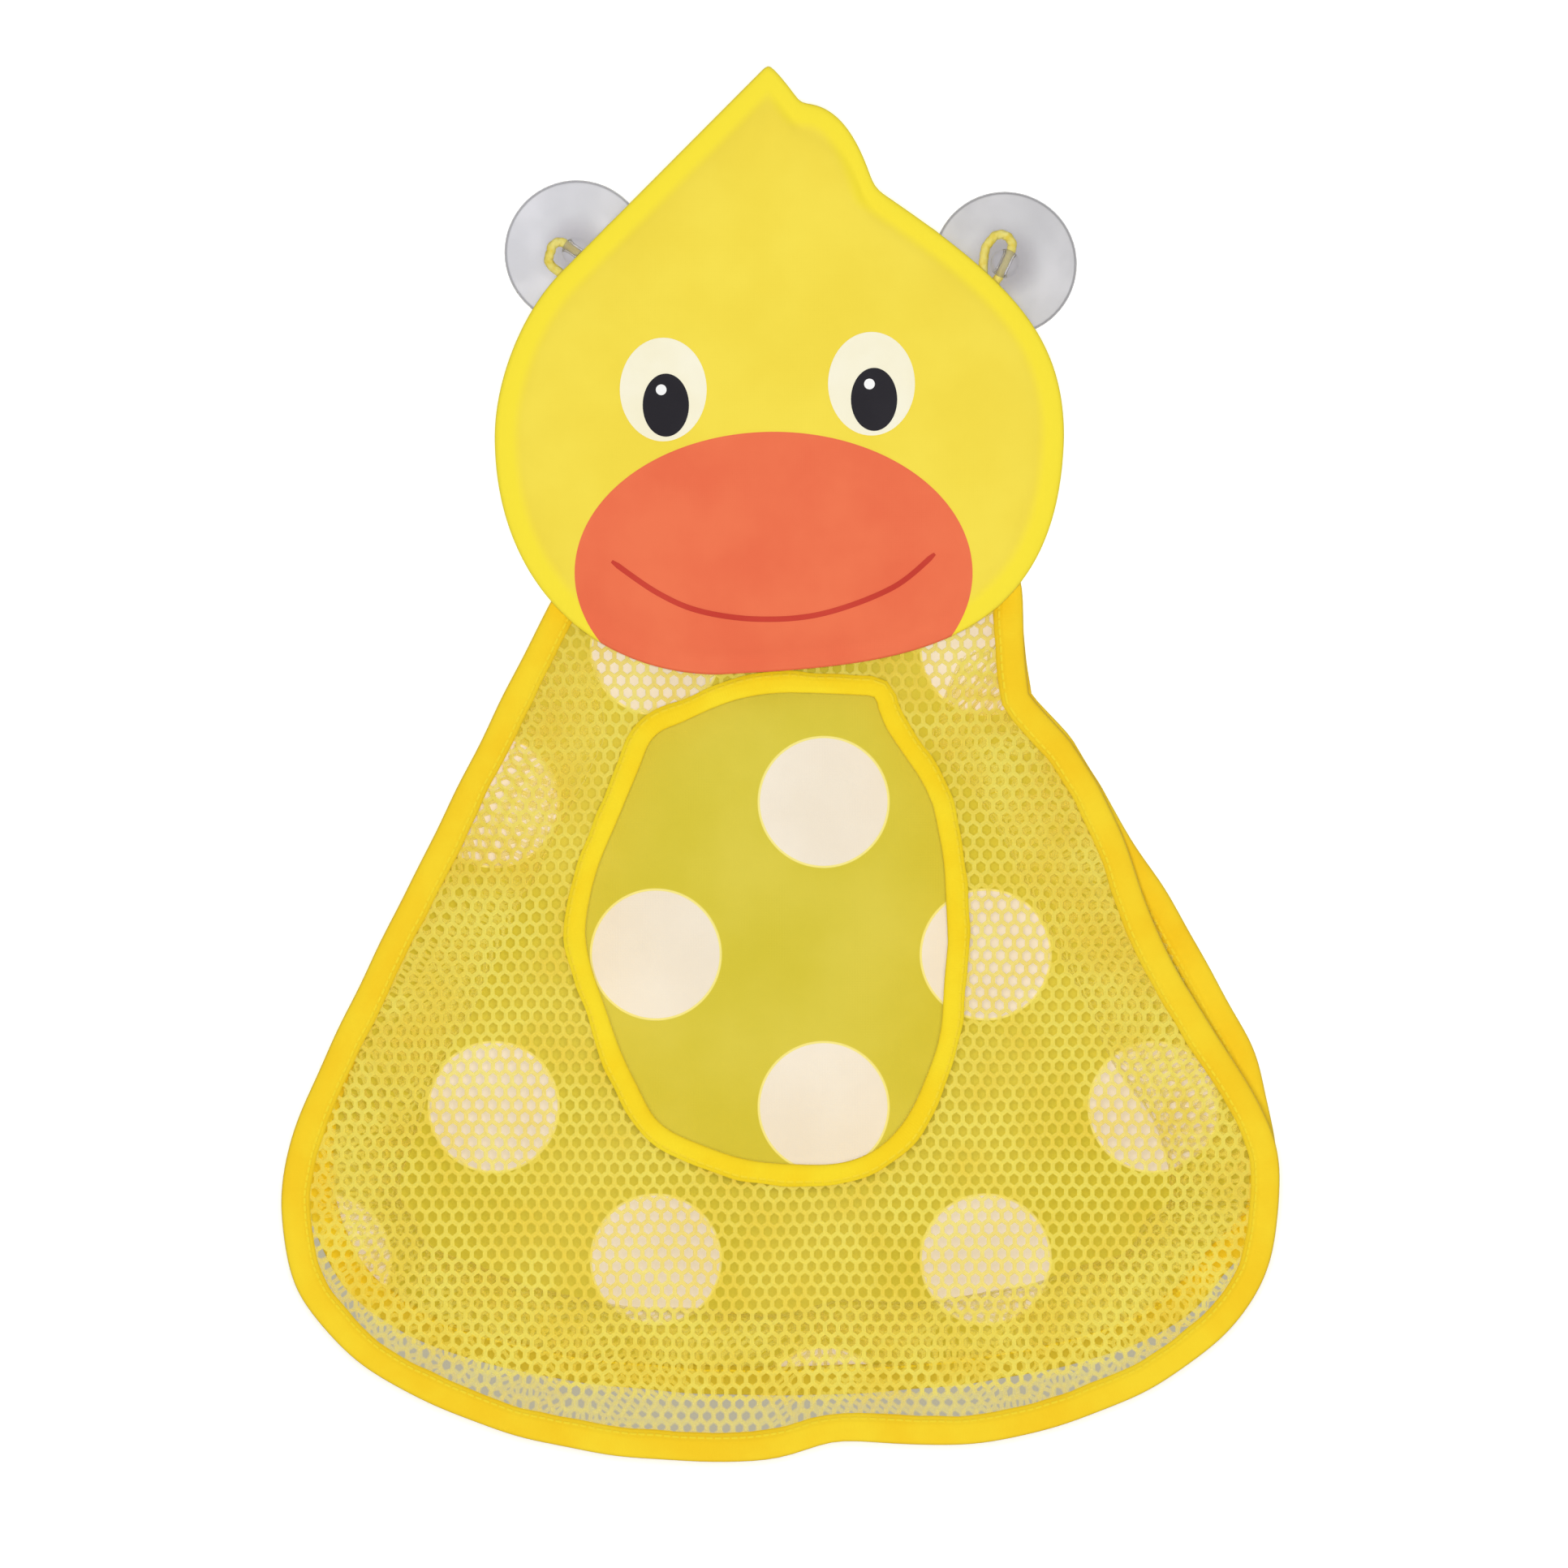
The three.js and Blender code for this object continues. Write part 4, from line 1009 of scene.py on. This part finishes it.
def neck_pinch(z):
    """The right side runs straight down from the head for a short way before it slants."""
    bends = [
        (-182, 0), (-166, -2.6), (-158, -6), (-151, -8.8), (-141, -4.8),
        (-130, 0), (-118, 5.3), (-111, 9), (BAG_TOP_Z, 12),
    ]
    return np.interp(z, *np.transpose(bends))


def front_outline():
    """The front's bound edge: slack on the right, and waved along the bottom."""
    ring = pocket_outline(FRONT_BOTTOM_Z)

    def push(z):
        return neck_pinch(z) - 5.5 * hump(z, -238, 34, 30) + 1.9 * hump(z, -303, 16, 16)

    ring = slack_right(ring, push)
    x, z = ring.T
    low = smoothstep((-345 - z) / 40)
    wave = 6 * hump(x, 22, 19, 30) - 0.6 * hump(x, 100, 40, 60) - 2.4 * hump(x, -85, 70, 66)
    corner = smoothstep((-330 - z) / 30) * smoothstep((z + 410) / 15)
    fuller = corner * (1.6 * hump(x, 155, 45, 30) - 2.6 * hump(x, -150, 30, 30))
    drawn = 1.1 * hump(z, -288, 30, 34) * smoothstep((-40 - x) / 30)
    return np.column_stack([x + fuller + drawn, z + low * wave])


def back_outline():
    """The back's bound edge: fuller than the front on the right, drawn in at the lower corners."""
    ring = pocket_outline(BACK_BOTTOM_Z)

    def push(z):
        full = 6.9 * hump(z, -258, 42, 42) + 2.1 * hump(z, -219, 17, 15) + 1.4 * hump(z, -274, 14, 14)
        drawn_in = 8 * hump(z, -352, 14, 15)
        return neck_pinch(z) + 1.2 * hump(z, -152, 25, 12) + full - drawn_in

    x, z = slack_right(ring, push).T
    left = smoothstep((-60 - x) / 40)
    return np.column_stack([x + 10 * left * hump(z, -340, 30, 45), z])


FRONT_EDGE = front_outline()
BACK_EDGE = back_outline()
FRONT_EDGE_COARSE = FRONT_EDGE[::4]
BACK_EDGE_COARSE = BACK_EDGE[::4]

OPENING_CORNERS = [
    (58, -234), (54.9, -197), (51.4, -184.5), (42.9, -171.5), (37.2, -162.5),
    (34.4, -156), (33, -152), (28, -151.2), (10, -150.6), (-14, -152.4),
    (-32.5, -160.4), (-43.4, -165.6), (-49.6, -179), (-65.4, -221), (-64, -246),
    (-50, -284), (-35, -303), (4, -313), (35.5, -306.2), (53.4, -276),
]
OPENING_EDGE = even_ring(smooth_line(OPENING_CORNERS, 16, closed=True), 224)


def front_level(x, z):
    """How far out the net hangs: a plane that leaves the back towards the bottom, full and slack."""
    x, z = np.asarray(x, float), np.asarray(z, float)
    plane = BACK_Y - NET_GAP_AT_TOP - NET_SLOPE * np.maximum(BAG_TOP_Z - z, 0)
    from_edge = inside_distance(FRONT_EDGE_COARSE, x, z)
    inside = smoothstep((from_edge - 14) / 40)
    below = smoothstep((-150 - z) / 140)
    slack = 1.1 * ripple(x, z, 62, 0.6) * smoothstep(from_edge / 30) * smoothstep((-120 - z) / 60)
    fold = 2.2 * hump(x, 26, 13, 13) * smoothstep((-372 - z) / 30)
    return plane - NET_FULLNESS * inside * below - slack - fold


def back_level(x, z):
    """The back panel lies flat, with slight waves away from its edge."""
    x, z = np.asarray(x, float), np.asarray(z, float)
    from_edge = inside_distance(BACK_EDGE_COARSE, x, z)
    return BACK_Y + 0.9 * ripple(x, z, 95, 2.0) * smoothstep(from_edge / 40)


def make_back_panel():
    edge = BACK_EDGE - 1.0 * ring_normals(BACK_EDGE)
    shares = np.linspace(0, 1, 33)
    points, _, faces = ring_grid(even_ring(edge, 256), PANEL_MIDDLE, shares)
    y = back_level(points[:, 0], points[:, 1])
    panel = sew_together("back_cloth", at_depth(points, y), faces)
    panel.data.materials.append(panel_material)
    panel.data.materials.append(panel_back_material)
    cloth = panel.modifiers.new("cloth", "SOLIDIFY")
    cloth.thickness = PANEL_THICKNESS * MM
    cloth.offset = 0
    cloth.material_offset = 1
    cloth.material_offset_rim = 1
    apply_modifiers(panel)
    finish_piece(panel, None, "dotted_nylon", "organizer", "back_panel")
    return panel


back_cloth = make_back_panel()

# Net: hexagonal meshes of yarn that is a little thicker where three strands meet. The corners and
# the middles of a mesh's sides are numbered in quarters of the pitch and sixths of the row.

HEX_CORNERS = [(0, 4), (-1, 3), (-2, 2), (-2, 0), (-2, -2), (-1, -3)]
HEX_CORNERS += [(-i, -j) for i, j in HEX_CORNERS]


def lattice_point(i, j):
    """Flat place in millimetres of a lattice number."""
    return i * MESH_PITCH / 4, j * MESH_ROW / 6


def mesh_middles(u_low, u_high, v_low, v_high):
    """Lattice numbers of the meshes in a rectangle of the flat net."""
    middles = []
    for row in range(math.floor(v_low / MESH_ROW), math.ceil(v_high / MESH_ROW) + 1):
        for column in range(math.floor(u_low / MESH_PITCH), math.ceil(u_high / MESH_PITCH) + 1):
            middles.append((4 * column + 2 * (row % 2), 6 * row))
    return np.array(middles)


def knit(name, middles, place):
    """A net of the given meshes. place turns flat points and their height off the cloth to points."""
    strand_number = {}
    flat = []
    height = []
    faces = []
    edge_uses = {}

    def strand(i, j):
        if (i, j) not in strand_number:
            strand_number[i, j] = len(flat)
            knot = (i, j) in knots
            for up in (1, -1):
                flat.append(lattice_point(i, j))
                height.append(up * STRAND_LIFT * (KNOT_SWELL if knot else SPAN_SWELL))
        return strand_number[i, j]

    knots = set()
    for i, j in middles:
        knots.update((i + di, j + dj) for di, dj in HEX_CORNERS[::2])
    for i, j in middles:
        rim = [strand(i + di, j + dj) for di, dj in HEX_CORNERS]
        middle = lattice_point(i, j)
        first = len(flat)
        for k, (di, dj) in enumerate(HEX_CORNERS):
            share = HOLE_SHARES[k % 6]
            du, dv = lattice_point(di, dj)
            flat.append((middle[0] + share * du, middle[1] + share * dv))
            height.append(0)
        for k in range(12):
            n = (k + 1) % 12
            faces.append((rim[k], rim[n], first + n, first + k))
            faces.append((rim[n] + 1, rim[k] + 1, first + k, first + n))
            pair = (min(rim[k], rim[n]), max(rim[k], rim[n]))
            edge_uses.setdefault(pair, []).append((rim[k], rim[n]))
    for uses in edge_uses.values():
        if len(uses) == 1:
            a, b = uses[0]
            faces.append((b, a, a + 1, b + 1))
    flat = np.array(flat, float)
    net = sew_together(name, place(flat[:, 0], flat[:, 1], np.array(height)), faces)
    turn_outward(net)
    bpy.ops.object.shade_smooth_by_angle(angle=math.radians(60))
    x, _, z = positions(net).T
    # Where nothing lies behind the net: thinner yarn there, and painted glare
    past_back = -inside_distance(BACK_EDGE_COARSE, x, z)
    mark_points(net, "clear_of_back", smoothstep(past_back / CLEAR_FADE))
    return net


def front_meshes():
    """The meshes between the outer tape and the opening's elastic."""
    middles = mesh_middles(-180, 180, -420, -105)
    u, v = lattice_point(*middles.T)
    inside = inside_distance(FRONT_EDGE, u, v) > NET_UNDER_TAPE
    outside = inside_distance(OPENING_EDGE, u, v) < -NET_UNDER_ELASTIC
    return middles[inside & outside]


def place_on_front(u, v, lift):
    drift = smoothstep(inside_distance(FRONT_EDGE_COARSE, u, v) / 25)
    x = u + 0.7 * drift * ripple(u, v, 70, 1.3)
    z = v + 0.7 * drift * ripple(v, u, 58, 0.4)
    return np.column_stack([x, front_level(x, z) - lift, z])


front_cells = front_meshes()
net_front = knit("net_front", front_cells, place_on_front)
finish_piece(net_front, net_material, "net", "pocket_front", "front_net")

# Gussets: nets folded inward between the two bound edges


class GussetRun:
    """Control points of the folded section along the pocket's edge, from the left side's top round."""

    def __init__(self):
        last = len(FRONT_EDGE) - SIDE_TOP
        numbers = np.arange(SIDE_TOP, last + 1)
        front = (FRONT_EDGE - GUSSET_SEAM * ring_normals(FRONT_EDGE))[numbers]
        back = (BACK_EDGE - GUSSET_SEAM * ring_normals(BACK_EDGE))[numbers]
        inward = -ring_normals(pocket_outline(FRONT_BOTTOM_Z))[numbers]
        seat = BINDING_HALF_THICKNESS + 0.5
        front_y = front_level(front[:, 0], front[:, 1]) + seat
        back_y = np.full(len(numbers), BACK_Y - seat)
        depth = back_y - front_y
        pull = np.minimum(GUSSET_FOLD - GUSSET_SEAM, 5 * depth) / 0.75
        self.run = run_along(front)
        self.corner_runs = (self.run[CORNER - SIDE_TOP], self.run[len(FRONT_EDGE) - CORNER - SIDE_TOP])
        steer = inward * pull[:, None]
        lean = GUSSET_LEAN * depth
        rows = [
            (back, back_y),
            (back + steer, back_y - lean),
            (front + steer, front_y + lean),
            (front, front_y),
        ]
        self.controls = [at_depth(p, y) for p, y in rows]
        self.steps = np.linspace(0, 1, 41)
        lines = np.stack([on_bezier(self.controls, t) for t in self.steps[:, None, None]])
        runs = np.cumsum(np.linalg.norm(np.diff(lines, axis=0), axis=2), axis=0)
        self.width = runs[-1]
        self.depth = depth
        middle = len(numbers) // 2
        self.even = np.concatenate([[0], runs[:, middle] / runs[-1, middle]])

    def surface(self, along, across):
        controls = []
        for row in self.controls:
            controls.append(np.column_stack([np.interp(along, self.run, axis) for axis in row.T]))
        share = np.clip(0.5 + across / np.interp(along, self.run, self.width), 0, 1)
        return on_bezier(controls, np.interp(share, self.even, self.steps)[:, None]), share

    def place(self, along, across, lift):
        point, share = self.surface(along, across)
        step_along = self.surface(along + 0.5, across)[0] - self.surface(along - 0.5, across)[0]
        step_across = self.surface(along, across + 0.5)[0] - self.surface(along, across - 0.5)[0]
        normal = np.cross(step_along, step_across)
        normal /= np.maximum(np.linalg.norm(normal, axis=1), 1e-9)[:, None]
        loose = np.minimum(2.2, 0.09 * np.interp(along, self.run, self.depth))
        sway = loose * ripple(along, across, 46, 0.9) * 4 * share * (1 - share)
        return point + normal * (lift + sway)[:, None]

    def meshes(self, start, end):
        middles = mesh_middles(start, end, -70, 70)
        u, v = lattice_point(*middles.T)
        wide = np.abs(v) < np.interp(u, self.run, self.width) / 2 - 0.5
        return middles[wide & (u >= start) & (u < end)]


gusset_run = GussetRun()


def fold_with_pocket(piece):
    """Bakes a gusset's placing into its mesh and reads its points."""
    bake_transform(piece)
    p = positions(piece)


def make_gusset(name, start, end, node):
    cells = gusset_run.meshes(start, end)
    gusset = knit(name, cells, gusset_run.place)
    finish_piece(gusset, net_material, "net", None, node)
    fold_with_pocket(gusset)
    mark_points(gusset, "inner_layer", np.ones(len(gusset.data.vertices)))
    return gusset


# Tapes


def folded_tape(name, ring, inward, width, level, pucker, wander):
    """Tape folded over an edge: a soft channel with a rounded fold, uneven as sewn tape is.

    The section goes round the tape in shares of its width from the fold and of its half thickness.
    """
    half = BINDING_HALF_THICKNESS
    section = [
        (1.0, -0.5), (1.0, -0.95), (0.66, -1.05), (0.33, -1.1), (0.1, -1.0),
        (0.03, -0.6), (0.0, 0.0), (0.03, 0.6), (0.1, 1.0), (0.33, 1.1),
        (0.66, 1.05), (1.0, 0.95), (1.0, 0.5), (0.12, 0.45), (0.08, 0.0),
        (0.12, -0.45),
    ]
    normals = ring_normals(ring)
    closed = np.vstack([ring, ring[:1]])
    run = run_along(closed)
    s = run[:-1]
    wide = width + 0.5 * wander * ripple(s, 0 * s, 37, 1.1) + 0.35 * wander * ripple(s, 0 * s, 13, 0.3)
    shift = 0.5 * wander * ripple(s, 0 * s, 29, 2.4)
    rise = pucker * ripple(s, 0 * s, 11, 0.5)
    count = len(section)
    layers = []
    for across, lift in section:
        out = shift - inward * across * wide
        p = ring + normals * out[:, None]
        y = level(p[:, 0], p[:, 1]) + lift * half + rise * (0.3 + 0.7 * across)
        layers.append(at_depth(p, y))
    points = np.stack(layers, axis=1).reshape(-1, 3)
    total = len(ring)
    tape = sew_together(name, points, quads(total, count, closed_rows=True))
    uv = tape.data.uv_layers.new(name="tape")
    from_fold = [a * width * MM for a, _ in section]
    for number, face in enumerate(tape.data.polygons):
        at_seam = number // count == total - 1
        for loop in face.loop_indices:
            v = tape.data.loops[loop].vertex_index
            i = total if at_seam and v // count == 0 else v // count
            uv.data[loop].uv = (run[i] * MM, from_fold[v % count])
    turn_outward(tape)
    return tape


back_tape = folded_tape("back_tape", BACK_EDGE, 1, BINDING_WIDTH, back_level, 0.18, 0.6)
finish_piece(back_tape, tape_material, "tape", "organizer", "back_binding")
# Painted shade: marks the back tape's inner face from TAPE_SHADE_Z down
_, tape_y, tape_z = positions(back_tape).T
inner_face = smoothstep((BACK_Y - tape_y) / BINDING_HALF_THICKNESS)
low_part = smoothstep((TAPE_SHADE_Z - tape_z) / TAPE_SHADE_FADE)
mark_points(back_tape, "in_shade", inner_face * low_part)
front_tape = folded_tape("front_tape", FRONT_EDGE, 1, BINDING_WIDTH, front_level, 0.25, 0.6)
finish_piece(front_tape, tape_material, "tape", "pocket_front", "front_binding")
opening_tape = folded_tape("opening_tape", OPENING_EDGE, -1, OPENING_TAPE_WIDTH, front_level, 0.4, 1.0)
finish_piece(opening_tape, elastic_material, "elastic", "pocket_front", "opening_binding")

left_corner, right_corner = gusset_run.corner_runs
whole_run = float(gusset_run.run[-1])
make_gusset("left_gusset_net", 0, left_corner, "left_gusset")
make_gusset("bottom_gusset_net", left_corner, right_corner, "bottom_gusset")
make_gusset("right_gusset_net", right_corner, whole_run, "right_gusset")

# Neck seam and loop tabs: folded webbing


def webbing_block(name, node):
    """A stack of webbing with soft corners that fills a node's box, stitched near its two ends."""
    low, high = (np.array(corner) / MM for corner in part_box(node))
    size = high - low
    middle = (high + low) / 2
    bpy.ops.object.select_all(action="DESELECT")
    bpy.ops.mesh.primitive_cube_add(size=1, location=(0, 0, 0))
    block = bpy.context.object
    block.name = name
    bpy.ops.object.mode_set(mode="EDIT")
    bpy.ops.mesh.select_all(action="SELECT")
    bpy.ops.transform.resize(value=tuple(float(c) * MM for c in size))
    bpy.ops.transform.translate(value=tuple(float(c) * MM for c in middle))
    bpy.ops.mesh.bevel(offset=0.7 * MM, segments=3, affect="EDGES")
    bpy.ops.object.mode_set(mode="OBJECT")
    bpy.ops.object.shade_smooth_by_angle(angle=math.radians(40))
    uv = block.data.uv_layers[0]
    for loop in block.data.loops:
        p = block.data.vertices[loop.vertex_index].co
        from_end = min(p.z - low[2] * MM, high[2] * MM - p.z)
        uv.data[loop.index].uv = (p.x, from_end)
    return finish_piece(block, webbing_material, "tape", "organizer", node)


webbing_block("left_tab", "left_loop_tab")
webbing_block("right_tab", "right_loop_tab")
webbing_block("neck_stack", "neck_seam")

# Suction cups: turned in clear PVC with a drilled knob


def make_cup(name, cup, turn, body, node):
    """A cup turned from its profile of radius and depth, with a hole drilled through its knob."""
    profile = [
        (0, -5), (8, -4.7), (15, -2.9), (21.2, -0.35), (22, 0),
        (24.2, 0), (25, -0.5), (24.9, -1.2), (21, -3.5), (16, -5.9),
        (11, -7.6), (7, -8.5), (4.1, -9.0), (3.6, -9.6), (3.6, -11),
        (4.2, -11.05), (4.8, -11.4), (5, -12), (5, -17.4), (4.7, -18.5),
        (4.1, -19.2), (3, -19.5), (0, -19.5),
    ]
    line = [(i, i + 1) for i in range(len(profile) - 1)]
    piece = sew_together(name, [(r, y, 0) for r, y in profile], [], line)
    bpy.ops.object.mode_set(mode="EDIT")
    bpy.ops.mesh.select_all(action="SELECT")
    bpy.ops.mesh.spin(steps=64, angle=2 * math.pi, center=(0, 0, 0), axis=(0, 1, 0))
    bpy.ops.mesh.select_all(action="SELECT")
    bpy.ops.mesh.remove_doubles(threshold=0.02 * MM)
    bpy.ops.mesh.normals_make_consistent(inside=False)
    bpy.ops.object.mode_set(mode="OBJECT")
    bpy.ops.object.select_all(action="DESELECT")
    bpy.ops.mesh.primitive_cylinder_add(
        vertices=24,
        radius=KNOB_HOLE_RADIUS * MM,
        depth=DRILL_LENGTH * MM,
    )
    drill = bpy.context.object
    drill.location = (0, KNOB_HOLE_Y * MM, 0)
    drill.rotation_euler = (0, math.pi / 2 - turn, 0)
    bpy.ops.object.transform_apply(location=True, rotation=True, scale=True)
    hole = piece.modifiers.new("hole", "BOOLEAN")
    hole.operation = "DIFFERENCE"
    hole.object = drill
    apply_modifiers(piece)
    bpy.data.objects.remove(drill)
    p = positions(piece)
    mark_points(piece, "radius_mm", np.hypot(p[:, 0], p[:, 2]))
    move_points(piece, p + np.array([cup[0], 0, cup[1]]))
    pick(piece)
    bpy.ops.object.shade_smooth_by_angle(angle=math.radians(38))
    piece.visible_shadow = False
    return finish_piece(piece, pvc_material, "clear_pvc", body, node)


make_cup("left_cup_clear", LEFT_CUP, LEFT_HOLE_TURN, "left_cup", "left_suction_cup")
make_cup("right_cup_clear", RIGHT_CUP, RIGHT_HOLE_TURN, "right_cup", "right_suction_cup")

# Stage: a pale wall and floor, soft light


def stage_material(name, level, glow):
    """Matt paint that glows where it is seen, and that is clear from behind."""
    material = bpy.data.materials.new(name)
    material.use_nodes = True
    tree = material.node_tree
    tree.nodes.clear()
    out = tree.nodes.new("ShaderNodeOutputMaterial")
    paint = tree.nodes.new("ShaderNodeBsdfDiffuse")
    paint.inputs[0].default_value = (level, level, level, 1)
    light = tree.nodes.new("ShaderNodeEmission")
    join(tree, calc(tree, "MULTIPLY", seen_directly(tree), glow), light.inputs["Strength"])
    add = tree.nodes.new("ShaderNodeAddShader")
    join(tree, paint.outputs[0], add.inputs[0])
    join(tree, light.outputs[0], add.inputs[1])
    behind = tree.nodes.new("ShaderNodeNewGeometry")
    clear = tree.nodes.new("ShaderNodeBsdfTransparent")
    mix = tree.nodes.new("ShaderNodeMixShader")
    join(tree, behind.outputs["Backfacing"], mix.inputs[0])
    join(tree, add.outputs[0], mix.inputs[1])
    join(tree, clear.outputs[0], mix.inputs[2])
    join(tree, mix.outputs[0], out.inputs[0])
    return material


def stage_plane(name, size, location, rotation, material):
    bpy.ops.object.select_all(action="DESELECT")
    bpy.ops.mesh.primitive_plane_add(size=size, location=location, rotation=rotation)
    plane = bpy.context.object
    plane.name = name
    plane.data.materials.append(material)
    return plane


wall_paint = stage_material("pale wall", 0.86, 0.5)
floor_paint = stage_material("pale floor", 0.86, 0.2)
wall = stage_plane("wall", 6, (0, WALL_Y * MM, 0), (math.pi / 2, 0, 0), wall_paint)
wall.visible_diffuse = False
wall.visible_glossy = False
wall.visible_shadow = False
stage_plane("floor", 8, (0, 0, FLOOR_Z * MM), (0, 0, 0), floor_paint)


def wall_shade(name, ring, grey):
    """The shaded part of the wall that is seen through the net and the clear cups."""
    material = stage_material(f"{name} grey", 0.0, 1.0)
    material.node_tree.nodes["Emission"].inputs[0].default_value = grey
    points = [(x, WALL_SHADE_Y, z) for x, z in ring]
    patch = sew_together(name, points, [tuple(range(len(points)))])
    patch.data.materials.append(material)
    patch.visible_diffuse = False
    patch.visible_shadow = False


def circle(middle, radius, count):
    angle = np.arange(count) * 2 * math.pi / count
    return np.asarray(middle) + radius * np.column_stack([np.cos(angle), np.sin(angle)])


wall_shade("shade_behind_bag", (FRONT_EDGE - 5 * ring_normals(FRONT_EDGE))[::3], shade(184, 177, 152))
wall_shade("shade_behind_left_cup", circle(LEFT_CUP, CUP_RADIUS - 0.8, 64), shade(226, 225, 229))
wall_shade("shade_behind_right_cup", circle(RIGHT_CUP, CUP_RADIUS - 0.8, 64), shade(209, 207, 208))


def area_light(name, location, target, size, power):
    data = bpy.data.lights.new(name, "AREA")
    data.shape = "DISK"
    data.size = size
    data.energy = power
    light = bpy.data.objects.new(name, data)
    light.location = location
    aim = Vector(target) - Vector(location)
    light.rotation_euler = aim.to_track_quat("-Z", "Y").to_euler()
    light.visible_camera = False
    light.visible_glossy = False
    light.visible_transmission = False
    bpy.context.scene.collection.objects.link(light)


area_light("key", (PICTURE_X * MM, -5.05, PICTURE_Z * MM), (0, 0, PICTURE_Z * MM), 0.5, 138)
area_light("back", (0.2, 2.6, 0.1), (0, 0, -0.2), 1.2, 26)


def set_world():
    """White where it is seen, and a plain level of light on the object."""
    world = bpy.data.worlds.new("white room")
    world.use_nodes = True
    tree = world.node_tree
    back = tree.nodes["Background"]
    strength = calc(tree, "MULTIPLY_ADD", seen_directly(tree), 1 - ROOM_LIGHT, ROOM_LIGHT)
    back.inputs["Color"].default_value = (1, 1, 1, 1)
    join(tree, strength, back.inputs["Strength"])
    bpy.context.scene.world = world


set_world()
bpy.context.scene.view_settings.view_transform = "Standard"
